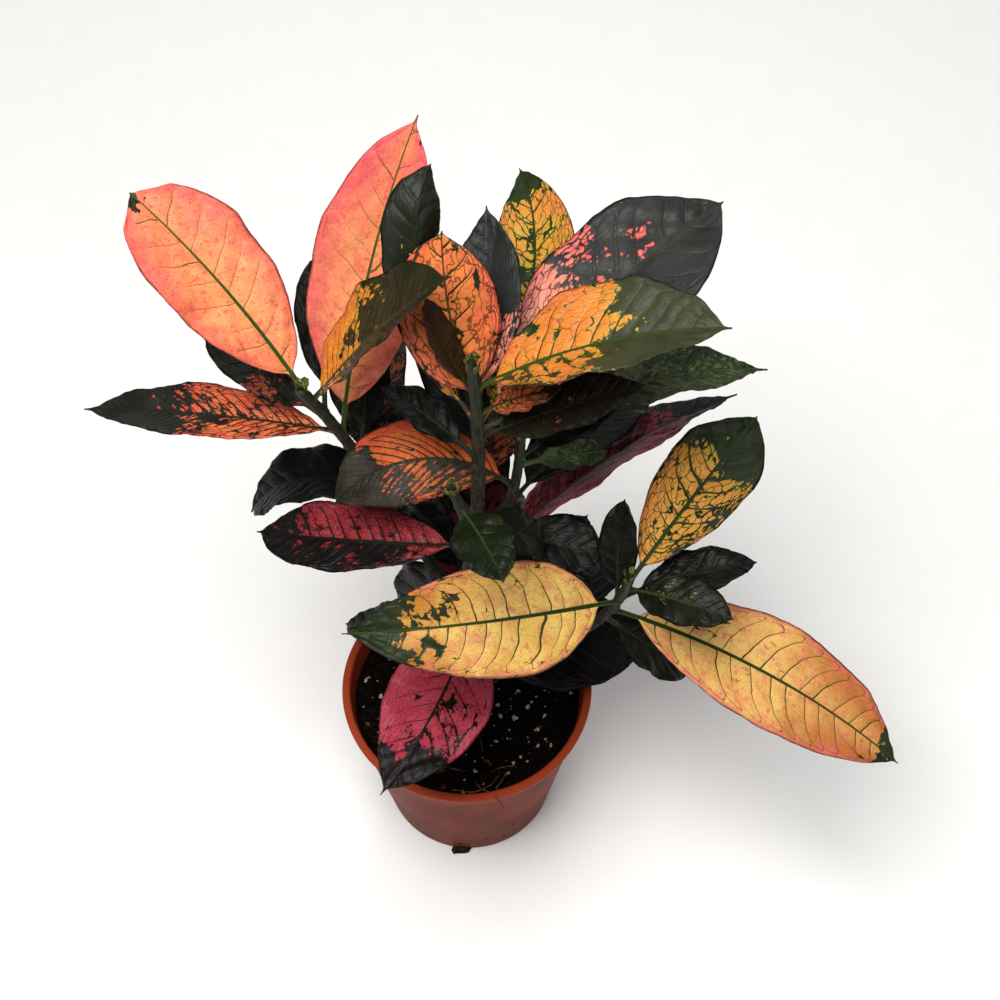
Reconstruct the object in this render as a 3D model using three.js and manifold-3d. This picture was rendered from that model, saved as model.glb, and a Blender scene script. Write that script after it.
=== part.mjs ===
// A potted croton: a nursery pot filled with soil, one forked woody stem and its leaves.
// Sizes are in millimetres and +Z is up. The origin is the middle of the pot's flat base, and the plant is
// seen in the usual way from -Y.

import * as THREE from 'three';
import { mergeVertices } from 'three/addons/utils/BufferGeometryUtils.js';
import Module from 'manifold-3d';

const wasm = await Module();
wasm.setup();

// Driving dimensions

// The room left between pieces that touch: soil in its pot, stem in the soil, leaves on the stem.
const seatGap = 0.3;

const pot = {
  height: 104,
  rimRadius: 62,
  baseRadius: 44,
  wall: 1.6,
  floor: 2,
  footChamfer: 1,
  bandHeight: 13,
  bandStep: 1.8,
  bandSlope: 1,
  lip: 2.6,
  lipOverhang: 1.6,
  lipRound: 0.9,
  sides: 48,
  drainHoles: 8,
  drainHoleRadius: 4,
  drainHoleSides: 12,
  drainCircle: 33,
};

// The soil's level is that of its edge. It rises by its crown toward the middle, with lumps.
const soil = {
  level: 92,
  crown: 3,
  lumps: 1.4,
  rings: 8,
};

// Each shoot is a cubic curve through the air: its four control points, then its radius low down and high up.
// The crown's curve is also the trunk, and goes on straight down into the soil as a root with a thinner end.
const shoots = {
  crown: { path: [[0, 0, 70], [0, 2, 180], [12, 3, 280], [6, 3, 358]], low: 3.8, high: 2.3 },
  left: { path: [[2, 1, 165], [-16, 2, 222], [-46, 38, 262], [-62, 16, 326]], low: 2.7, high: 2.2 },
  mid: { path: [[2, 1, 150], [4, 8, 205], [24, 8, 240], [25, 14, 297]], low: 2.5, high: 2.0 },
  front: { path: [[1, 1, 170], [-2, -3, 215], [9, -12, 250], [-2, -14, 298]], low: 2.5, high: 1.9 },
  right: { path: [[1, 0, 128], [34, -2, 138], [68, -6, 172], [72, -17, 235]], low: 2.6, high: 2.1 },
};
const root = { bottom: 42, endLength: 10, endThinner: 1.2 };
const shootSides = 8;
const shootSteps = 22;
// A shoot ends in a bud: how far past the shoot's end each of its rings is, and their radii.
const bud = { ahead: [1.5, 4, 6.5, 8.5], radii: [2.7, 3.0, 2.0, 0.6] };

// Every leaf: how thick it is at its edge and at its midrib, how much the midrib and its stalk have thinned
// by the tip, and its edge's waves along the length. The waves of the two halves, and of one leaf and the
// next, are out of step by waveShift.
const blade = {
  edge: 0.7,
  rib: 1.5,
  ribThinning: 0.45,
  stalkHalfWidth: 1.2,
  stalkThinning: 0.8,
  waveCount: 3.3,
  waveShift: 0.37,
  pointLength: 0.05,
  curlFrom: 0.7,
  stepLength: 9,
  fewestSteps: 8,
  mostSteps: 14,
  across: [-1, -0.5, 0, 0.5, 1],
};

// The forms of a blade: where it is widest along its length, how blunt its end is from 0 to 1, how far its
// halves fold up from the midrib and its end curls down, in degrees, and how high its edge waves.
const forms = {
  round: { belly: 0.6, blunt: 1.0, fold: 10, curl: 0, wave: 1.6 },
  oval: { belly: 0.5, blunt: 0.5, fold: 12, curl: 0, wave: 1.3 },
  broad: { belly: 0.48, blunt: 0.3, fold: 8, curl: 0, wave: 1.2 },
  paddle: { belly: 0.58, blunt: 0.6, fold: 12, curl: 0, wave: 1.5 },
  spear: { belly: 0.5, blunt: 0.1, fold: 11, curl: 0, wave: 1.0 },
  curled: { belly: 0.66, blunt: 1.0, fold: -30, curl: 70, wave: 0.8 },
  domed: { belly: 0.58, blunt: 0.1, fold: -8, curl: 0, wave: 0.8 },
  plain: { belly: 0.52, blunt: 0.8, fold: 6, curl: 0, wave: 0.7 },
  tapered: { belly: 0.4, blunt: 0.2, fold: 8, curl: 0, wave: 1.2 },
  corner: { belly: 0.62, blunt: 0.15, fold: 10, curl: 0, wave: 1.2 },
  keeled: { belly: 0.52, blunt: 0.5, fold: 22, curl: 0, wave: 1.2 },
};

const looks = {
  pot: { color: 0xa84a2e, roughness: 0.45 },
  soil: { color: 0x1c1512, roughness: 0.95 },
  stem: { color: 0x6b5d4c, roughness: 0.8 },
  coral: { color: 0xf08a68, roughness: 0.5 },
  orange: { color: 0xd98438, roughness: 0.42 },
  yellow: { color: 0xe8c468, roughness: 0.42 },
  crimson: { color: 0xa92c42, roughness: 0.45 },
  red: { color: 0xa8502f, roughness: 0.42 },
  green: { color: 0x33431f, roughness: 0.36 },
  dark: { color: 0x23241c, roughness: 0.36 },
};

// One row for each leaf, roughly from the shoot's tip down: its place on the shoot, its stalk's length, the
// way the stalk turns about +Z from +X and rises above level, how far the leaf falls and sweeps round on its
// way to the tip, its roll, the blade's length and width, its form and its look. Angles are in degrees.
const leaves = {
  left: [
    [0.97, 12, 140, 52, 26, 6, -8, 95, 46, 'round', 'coral'],
    [0.95, 8, -2, 63, 13, -12, 6, 98, 42, 'keeled', 'orange'],
    [0.88, 12, 90, 22, 20, 10, 10, 62, 24, 'oval', 'dark'],
    [0.84, 12, 156, 32, 30, -10, -10, 52, 20, 'oval', 'dark'],
    [0.8, 6, 174, 8, 30, -10, 5, 110, 30, 'spear', 'dark'],
    [0.78, 16, 68, 71, 21, -14, 10, 128, 47, 'oval', 'coral'],
    [0.66, 14, 92, 52, 30, -20, -10, 48, 22, 'oval', 'dark'],
    [0.62, 12, 96, 24, 65, -5, 5, 90, 38, 'oval', 'dark'],
    [0.45, 10, 136, 16, 80, 55, 5, 84, 36, 'paddle', 'dark'],
  ],
  crown: [
    [0.93, 8, 152, 57, -8, -22, -10, 41, 12, 'spear', 'dark'],
    [0.95, 10, 1, 42, 32, -9, -4, 96, 50, 'keeled', 'orange'],
    [0.91, 6, 126, 52, -6, -36, -14, 65, 40, 'plain', 'orange'],
    [0.9, 10, 75, 47, 15, 22, -22, 69, 31, 'spear', 'dark'],
    [0.86, 10, 146, 43, -36, -78, 26, 102, 28, 'curled', 'dark'],
    [0.82, 12, 55, 33, 37, 52, -20, 116, 39, 'broad', 'yellow'],
    [0.86, 12, 35, 39, 35, 4, 0, 121, 58, 'corner', 'dark'],
    [0.88, 8, -8, 52, 35, 5, 15, 32, 14, 'oval', 'red'],
    [0.84, 12, 22, 10, 30, -8, -20, 116, 44, 'spear', 'green'],
    [0.82, 10, -8, 44, 30, 15, 10, 66, 24, 'spear', 'dark'],
    [0.76, 10, 144, 32, 30, 5, 0, 40, 18, 'oval', 'dark'],
    [0.72, 14, 98, 26, 35, 5, 5, 84, 40, 'oval', 'dark'],
    [0.64, 14, 78, 6, 30, 10, -5, 96, 44, 'oval', 'dark'],
    [0.6, 14, 130, 8, 35, 0, 10, 82, 36, 'oval', 'dark'],
    [0.48, 10, 92, 8, 25, 0, 0, 76, 36, 'oval', 'dark'],
    [0.4, 12, 114, -4, 30, 10, 0, 84, 36, 'oval', 'dark'],
    [0.37, 12, 80, -2, 30, 3, 0, 80, 34, 'oval', 'dark'],
    [0.36, 12, 146, -24, 50, 10, -45, 52, 36, 'oval', 'dark'],
    [0.34, 12, 26, 6, 15, 35, 15, 66, 30, 'oval', 'dark'],
    [0.28, 12, -102, 16, 30, -25, -5, 84, 49, 'tapered', 'crimson'],
    [0.25, 12, 92, 12, 40, 0, 0, 84, 40, 'oval', 'crimson'],
    [0.26, 12, 154, -28, 15, -5, -5, 78, 26, 'oval', 'crimson'],
    [0.16, 12, 13, 8, 30, 5, 15, 82, 50, 'oval', 'dark'],
  ],
  mid: [
    [0.93, 10, 14, 44, 25, 5, 10, 42, 18, 'oval', 'dark'],
    [0.9, 8, 14, 4, 25, 5, 15, 32, 14, 'oval', 'green'],
    [0.8, 8, 162, 47, 96, 48, -20, 81, 37, 'domed', 'red'],
    [0.72, 12, 52, 10, 40, -5, -5, 90, 36, 'oval', 'dark'],
    [0.56, 10, -8, 8, 20, -10, 15, 38, 28, 'oval', 'dark'],
    [0.44, 12, 40, 26, 30, -15, -35, 126, 44, 'spear', 'crimson'],
  ],
  front: [
    [0.92, 6, -64, 28, 30, -5, 5, 40, 26, 'oval', 'green'],
    [0.8, 6, 16, -14, 60, -10, 10, 44, 22, 'oval', 'dark'],
    [0.66, 8, 172, -10, 13, -14, -4, 95, 36, 'paddle', 'crimson'],
    [0.5, 10, 128, 4, 20, 0, 30, 44, 18, 'oval', 'dark'],
  ],
  right: [
    [0.97, 10, 52, 18, 15, 0, 0, 90, 41, 'corner', 'yellow'],
    [0.95, 6, -32, 34, 40, 10, 10, 46, 24, 'oval', 'green'],
    [0.86, 8, 104, 76, 30, -30, -10, 44, 18, 'oval', 'dark'],
    [0.88, 10, 2, 40, 45, 10, -5, 54, 24, 'oval', 'dark'],
    [0.86, 12, -147, 34, 48, -38, -38, 119, 50, 'tapered', 'yellow'],
    [0.8, 12, -16, -6, 30, -10, 10, 142, 51, 'broad', 'yellow'],
    [0.74, 8, -18, -36, 10, 15, 10, 50, 28, 'oval', 'dark'],
    [0.62, 10, 84, -4, 40, -10, -5, 66, 30, 'oval', 'dark'],
    [0.42, 10, 84, 0, 40, 5, 0, 64, 30, 'oval', 'dark'],
  ],
};

// Solids from closed meshes, and back

function solidOf(geometry) {
  const bare = geometry.clone();
  bare.deleteAttribute('normal');
  bare.deleteAttribute('uv');
  const merged = mergeVertices(bare, 1e-4);
  return new wasm.Manifold(new wasm.Mesh({
    numProp: 3,
    vertProperties: new Float32Array(merged.attributes.position.array),
    triVerts: new Uint32Array(merged.index.array),
  }));
}

function geometryOf(solid) {
  const mesh = solid.getMesh();
  const geometry = new THREE.BufferGeometry();
  geometry.setAttribute('position', new THREE.BufferAttribute(new Float32Array(mesh.vertProperties), 3));
  geometry.setIndex(new THREE.BufferAttribute(new Uint32Array(mesh.triVerts), 1));
  geometry.computeVertexNormals();
  return geometry;
}

function meshFrom(points, triangles) {
  const geometry = new THREE.BufferGeometry();
  const flat = points.flatMap((p) => [p.x, p.y, p.z]);
  geometry.setAttribute('position', new THREE.BufferAttribute(new Float32Array(flat), 3));
  geometry.setIndex(triangles.flat());
  return geometry;
}

function largestPiece(solid) {
  return solid.decompose().reduce((a, b) => (a.volume() > b.volume() ? a : b));
}

// The pot: a tapered wall, a stepped band and a rounded lip round its rim, and a flat base with drain holes

function lathed(profile) {
  const geometry = new THREE.LatheGeometry(profile.map(([r, z]) => new THREE.Vector2(r, z)), pot.sides);
  geometry.rotateX(Math.PI / 2);
  return geometry;
}

const bandBottom = pot.height - pot.bandHeight;
const wallTopRadius = pot.rimRadius - pot.lip - pot.bandStep;

function outerRadiusAt(z) {
  return pot.baseRadius + (wallTopRadius - pot.baseRadius) * (z / bandBottom);
}

function innerRadiusAt(z) {
  return outerRadiusAt(z) - pot.wall;
}

function potSolid() {
  const lipBottom = pot.height - pot.lip;
  const inside = innerRadiusAt(pot.height);
  const shell = solidOf(lathed([
    [0, 0],
    [pot.baseRadius - pot.footChamfer, 0],
    [pot.baseRadius, pot.footChamfer],
    [wallTopRadius, bandBottom],
    [wallTopRadius + pot.bandStep, bandBottom + pot.bandSlope],
    [pot.rimRadius - pot.lipOverhang, lipBottom],
    [pot.rimRadius, lipBottom + pot.lipRound],
    [pot.rimRadius, pot.height - pot.lipRound],
    [pot.rimRadius - pot.lipRound, pot.height],
    [inside + pot.lipRound, pot.height],
    [inside, pot.height - pot.lipRound],
    [innerRadiusAt(pot.floor), pot.floor],
    [0, pot.floor],
  ]));
  const radius = pot.drainHoleRadius;
  const drain = new THREE.CylinderGeometry(radius, radius, 4 * pot.floor, pot.drainHoleSides);
  drain.rotateX(Math.PI / 2);
  drain.translate(pot.drainCircle, 0, 0);
  let holed = shell;
  for (let i = 0; i < pot.drainHoles; i += 1) {
    holed = holed.subtract(solidOf(drain));
    drain.rotateZ((2 * Math.PI) / pot.drainHoles);
  }
  return holed;
}

// The soil: a plug that fills the pot. Its top falls toward the wall, with lumps that are two ripples, three
// and five to a turn, which fade out in the middle and at the wall.

function soilHeight(radius, angle) {
  const outward = radius / innerRadiusAt(soil.level);
  const ripples = Math.sin(radius * 0.21 + 3 * angle) + Math.sin(radius * 0.13 - 5 * angle + 1);
  const lump = (soil.lumps / 2) * ripples * outward * (1 - outward ** 6);
  return soil.level + soil.crown * (1 - outward ** 2) + lump;
}

function soilSolid() {
  const bottom = pot.floor + seatGap;
  const bottomRadius = innerRadiusAt(bottom) - seatGap;
  const topRadius = innerRadiusAt(soil.level) - seatGap;
  const points = [new THREE.Vector3(0, 0, bottom), new THREE.Vector3(0, 0, soilHeight(0, 0))];
  const triangles = [];
  const addRing = (radius, height) => {
    for (let j = 0; j < pot.sides; j += 1) {
      const angle = (2 * Math.PI * j) / pot.sides;
      const [x, y] = [radius * Math.cos(angle), radius * Math.sin(angle)];
      points.push(new THREE.Vector3(x, y, height(radius, angle)));
    }
    return points.length - pot.sides;
  };
  const goRound = (trianglesAt) => {
    for (let j = 0; j < pot.sides; j += 1) {
      triangles.push(...trianglesAt(j, (j + 1) % pot.sides));
    }
  };
  const first = addRing(bottomRadius, () => bottom);
  goRound((j, k) => [[0, first + k, first + j]]);
  let last = first;
  for (let i = 0; i < soil.rings; i += 1) {
    const from = last;
    const next = addRing(topRadius * (1 - i / soil.rings), soilHeight);
    goRound((j, k) => [[from + j, from + k, next + k], [from + j, next + k, next + j]]);
    last = next;
  }
  goRound((j, k) => [[last + j, last + k, 1]]);
  return solidOf(meshFrom(points, triangles));
}

// The stem: round tapered shoots with a pointed bud at the end of each, grown together as one piece

function shootCurve(name) {
  return new THREE.CubicBezierCurve3(...shoots[name].path.map((p) => new THREE.Vector3(...p)));
}

// A closed tube through rings of points. Each ring has its centre, the direction it faces and its radius.
function tube(rings) {
  const points = [];
  const triangles = [];
  const back = new THREE.Vector3(0, 1, 0);
  const side = new THREE.Vector3();
  const other = new THREE.Vector3();
  rings.forEach(({ centre, direction, radius }) => {
    side.crossVectors(back, direction).normalize();
    other.crossVectors(direction, side);
    for (let j = 0; j < shootSides; j += 1) {
      const angle = (2 * Math.PI * j) / shootSides;
      points.push(centre.clone()
        .addScaledVector(side, radius * Math.cos(angle))
        .addScaledVector(other, radius * Math.sin(angle)));
    }
  });
  const end = (rings.length - 1) * shootSides;
  for (let a = 0; a < end; a += shootSides) {
    const b = a + shootSides;
    for (let j = 0; j < shootSides; j += 1) {
      const k = (j + 1) % shootSides;
      triangles.push([a + j, a + k, b + k], [a + j, b + k, b + j]);
    }
  }
  for (let j = 1; j < shootSides - 1; j += 1) {
    triangles.push([0, j + 1, j], [end, end + j, end + j + 1]);
  }
  return solidOf(meshFrom(points, triangles));
}

// A shoot, with room all round it where it is to be cut out of something else
function shootSolid(name, room) {
  const { low, high } = shoots[name];
  const curve = shootCurve(name);
  const rings = [];
  const addRing = (centre, direction, radius) => {
    rings.push({ centre, direction, radius: radius + room });
  };
  if (name === 'crown') {
    const up = new THREE.Vector3(0, 0, 1);
    addRing(new THREE.Vector3(0, 0, root.bottom - room), up, low - root.endThinner);
    addRing(new THREE.Vector3(0, 0, root.bottom + root.endLength), up, low);
  }
  for (let i = 0; i <= shootSteps; i += 1) {
    const u = i / shootSteps;
    addRing(curve.getPoint(u), curve.getTangent(u), low + (high - low) * u);
  }
  const tip = curve.getPoint(1);
  const ahead = curve.getTangent(1);
  bud.ahead.forEach((length, i) => {
    const beyond = i === bud.ahead.length - 1 ? room : 0;
    addRing(tip.clone().addScaledVector(ahead, length + beyond), ahead, bud.radii[i]);
  });
  return tube(rings);
}

function stemSolid(room) {
  return Object.keys(shoots).map((name) => shootSolid(name, room)).reduce((a, b) => a.add(b));
}

// A leaf, in its own frame: its stalk starts at the origin and sets out over +X

function easeInOut(x) {
  const c = THREE.MathUtils.clamp(x, 0, 1);
  return c * c * (3 - 2 * c);
}

// Half the blade's width at t of its length: a superellipse from the base to the widest place and another
// from there to the tip, rounder for a blunt blade, which also narrows to a short point
function halfWidth(t, width, form) {
  const below = t < form.belly;
  const x = below ? (form.belly - t) / form.belly : (t - form.belly) / (1 - form.belly);
  const roundness = below ? 0.82 : 1 - 0.45 * form.blunt;
  const point = Math.min((1 - t) / blade.pointLength, 1) ** 0.8;
  return (width / 2) * (1 - x ** 2.1) ** roundness * (1 - 0.75 * form.blunt * (1 - point));
}

// The midrib's way: its rise and its heading change evenly with s, from 0 at the shoot to 1 at the tip, and
// the end of a curled blade turns down as well
function midribDirection(s, { rise, fall, sweep, curl }) {
  const heading = THREE.MathUtils.degToRad(sweep * s);
  const curled = curl * easeInOut((s - blade.curlFrom) / (1 - blade.curlFrom));
  const pitch = THREE.MathUtils.degToRad(rise - fall * s - curled);
  const ahead = new THREE.Vector3(Math.cos(heading), Math.sin(heading), 0)
    .multiplyScalar(Math.cos(pitch))
    .setZ(Math.sin(pitch));
  const level = new THREE.Vector3(-Math.sin(heading), Math.cos(heading), 0);
  return [ahead, level];
}

// The triangles between two layers of one grid, the upper layer's points first, split alike on both
function slabTriangles(rows, columns) {
  const under = rows * columns;
  const triangles = [];
  for (let i = 0; i < rows - 1; i += 1) {
    const a = i * columns;
    const b = a + columns;
    const last = columns - 1;
    for (let j = 0; j < last; j += 1) {
      triangles.push([a + j, b + j, b + j + 1], [a + j, b + j + 1, a + j + 1]);
      triangles.push([under + a + j, under + b + j + 1, under + b + j]);
      triangles.push([under + a + j, under + a + j + 1, under + b + j + 1]);
    }
    triangles.push([a, under + b, b], [a, under + a, under + b]);
    triangles.push([a + last, b + last, under + b + last], [a + last, under + b + last, under + a + last]);
  }
  const end = under - columns;
  for (let j = 0; j < columns - 1; j += 1) {
    triangles.push([j, j + 1, under + j + 1], [j, under + j + 1, under + j]);
    const e = end + j;
    triangles.push([e, under + e + 1, e + 1], [e, under + e, under + e + 1]);
  }
  return triangles;
}

// The blade's halves fold up from the midrib, and their edges ripple. The underside's midrib stands out.
function leafSolid(row, phase) {
  const [, stalk, , rise, fall, sweep, roll, length, width, formName] = row;
  const form = forms[formName];
  const way = { rise, fall, sweep, curl: form.curl };
  const fold = THREE.MathUtils.degToRad(form.fold);
  const rolled = THREE.MathUtils.degToRad(roll);
  const total = stalk + length;
  const evenSteps = Math.round(total / blade.stepLength);
  const steps = THREE.MathUtils.clamp(evenSteps, blade.fewestSteps, blade.mostSteps);
  const strides = 8;
  const at = new THREE.Vector3(0, 0, 0);
  const upper = [];
  const lower = [];
  for (let i = 0; i <= steps; i += 1) {
    const s = i / steps;
    const t = Math.min((s * total - stalk) / length, 1);
    const along = Math.max(t, 0);
    const [ahead, level] = midribDirection(s, way);
    const upright = new THREE.Vector3().crossVectors(ahead, level);
    const side = level.clone().multiplyScalar(Math.cos(rolled)).addScaledVector(upright, Math.sin(rolled));
    const normal = upright.multiplyScalar(Math.cos(rolled)).addScaledVector(level, -Math.sin(rolled));
    const stalkHalf = blade.stalkHalfWidth * (1 - blade.stalkThinning * along);
    const half = Math.max(t > 0 ? halfWidth(t, width, form) : 0, stalkHalf);
    const ribHeight = (blade.rib - blade.edge) * (1 - blade.ribThinning * along);
    blade.across.forEach((c) => {
      const shift = phase + (c > 0 ? blade.waveShift : 0);
      const ripple = Math.sin(Math.PI * along) * Math.sin(2 * Math.PI * (blade.waveCount * t + shift));
      const lift = half * Math.abs(c) * Math.sin(fold) + form.wave * c * c * ripple;
      const thickness = blade.edge + ribHeight * (1 - Math.abs(c)) ** 2;
      const top = at.clone()
        .addScaledVector(side, half * c * Math.cos(fold))
        .addScaledVector(normal, lift + blade.edge / 2);
      upper.push(top);
      lower.push(top.clone().addScaledVector(normal, -thickness));
    });
    for (let k = 0; k < strides; k += 1) {
      at.addScaledVector(midribDirection((i + (k + 0.5) / strides) / steps, way)[0], total / steps / strides);
    }
  }
  return solidOf(meshFrom([...upper, ...lower], slabTriangles(steps + 1, blade.across.length)));
}

// The whole plant

const croton = new THREE.Group();

function addPiece(name, solid, { color, roughness }) {
  const material = new THREE.MeshStandardMaterial({ color, roughness, metalness: 0 });
  const mesh = new THREE.Mesh(geometryOf(solid), material);
  mesh.name = name;
  croton.add(mesh);
  return mesh;
}

const stemWithRoom = stemSolid(seatGap);

// Each leaf starts at the middle of its shoot and is cut back to the shoot's bark.
function addLeaf(shoot, row, number, phase) {
  const [place, , turn] = row;
  const look = looks[row[10]];
  const foot = shootCurve(shoot).getPoint(place);
  const stemFromHere = stemWithRoom.translate([-foot.x, -foot.y, -foot.z]).rotate([0, 0, -turn]);
  const solid = largestPiece(leafSolid(row, phase).subtract(stemFromHere));
  const leaf = addPiece(`leaf_${shoot}_${number}`, solid, look);
  leaf.position.copy(foot);
  leaf.rotation.z = THREE.MathUtils.degToRad(turn);
}

addPiece('pot', potSolid(), looks.pot);
addPiece('soil', soilSolid().subtract(stemWithRoom), looks.soil);
addPiece('stem', stemSolid(0), looks.stem);

let phase = 0;
for (const [shoot, rows] of Object.entries(leaves)) {
  rows.forEach((row, i) => {
    addLeaf(shoot, row, i + 1, phase);
    phase = (phase + blade.waveShift) % 1;
  });
}

export default croton;
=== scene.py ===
import math

import bmesh
import bpy
import numpy as np
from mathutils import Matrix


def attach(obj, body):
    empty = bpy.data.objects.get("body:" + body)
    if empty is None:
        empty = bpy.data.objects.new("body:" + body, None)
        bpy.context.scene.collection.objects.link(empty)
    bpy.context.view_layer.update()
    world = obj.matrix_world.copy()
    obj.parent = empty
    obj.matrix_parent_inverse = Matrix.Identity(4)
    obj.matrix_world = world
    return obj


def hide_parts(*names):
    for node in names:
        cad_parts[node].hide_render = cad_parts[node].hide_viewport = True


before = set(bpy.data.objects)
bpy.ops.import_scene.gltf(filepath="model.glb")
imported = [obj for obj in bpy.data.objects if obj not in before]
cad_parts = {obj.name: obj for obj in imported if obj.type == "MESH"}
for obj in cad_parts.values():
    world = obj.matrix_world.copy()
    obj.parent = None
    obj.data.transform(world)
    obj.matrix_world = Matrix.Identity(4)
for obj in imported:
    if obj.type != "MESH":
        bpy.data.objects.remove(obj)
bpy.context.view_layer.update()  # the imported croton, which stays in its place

mm = 0.001
body = "root"

# The plant's own measures, in millimetres, as its solids have them

shoots = {
    "left": {"path": [[2, 1, 165], [-16, 2, 222], [-46, 38, 262], [-62, 16, 326]], "low": 2.7, "high": 2.2},
    "crown": {"path": [[0, 0, 70], [0, 2, 180], [12, 3, 280], [6, 3, 358]], "low": 3.8, "high": 2.3},
    "mid": {"path": [[2, 1, 150], [4, 8, 205], [24, 8, 240], [25, 14, 297]], "low": 2.5, "high": 2.0},
    "front": {"path": [[1, 1, 170], [-2, -3, 215], [9, -12, 250], [-2, -14, 298]], "low": 2.5, "high": 1.9},
    "right": {"path": [[1, 0, 128], [34, -2, 138], [68, -6, 172], [72, -17, 235]], "low": 2.6, "high": 2.1},
}

# A blade's form: widest place, bluntness, fold and curl in degrees, its edge's waves, share of its thin tip
forms = {
    "round": {"belly": 0.6, "blunt": 1.0, "fold": 10, "curl": 0, "wave": 1.6, "drip": 0.01},
    "oval": {"belly": 0.5, "blunt": 0.5, "fold": 12, "curl": 0, "wave": 1.3, "drip": 0.025},
    "broad": {"belly": 0.48, "blunt": 0.3, "fold": 8, "curl": 0, "wave": 1.2, "drip": 0.02},
    "paddle": {"belly": 0.58, "blunt": 0.6, "fold": 12, "curl": 0, "wave": 1.5, "drip": 0.03},
    "spear": {"belly": 0.5, "blunt": 0.1, "fold": 11, "curl": 0, "wave": 1.0, "drip": 0.035},
    "curled": {"belly": 0.66, "blunt": 1.0, "fold": -30, "curl": 70, "wave": 0.8, "drip": 0.01},
    "domed": {"belly": 0.58, "blunt": 0.1, "fold": -8, "curl": 0, "wave": 0.8, "drip": 0.03},
    "plain": {"belly": 0.52, "blunt": 0.8, "fold": 6, "curl": 0, "wave": 0.7, "drip": 0.02},
    "tapered": {"belly": 0.4, "blunt": 0.2, "fold": 8, "curl": 0, "wave": 1.2, "drip": 0.04},
    "corner": {"belly": 0.62, "blunt": 0.15, "fold": 10, "curl": 0, "wave": 1.2, "drip": 0.015},
    "keeled": {"belly": 0.52, "blunt": 0.5, "fold": 22, "curl": 0, "wave": 1.2, "drip": 0.03},
}

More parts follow.
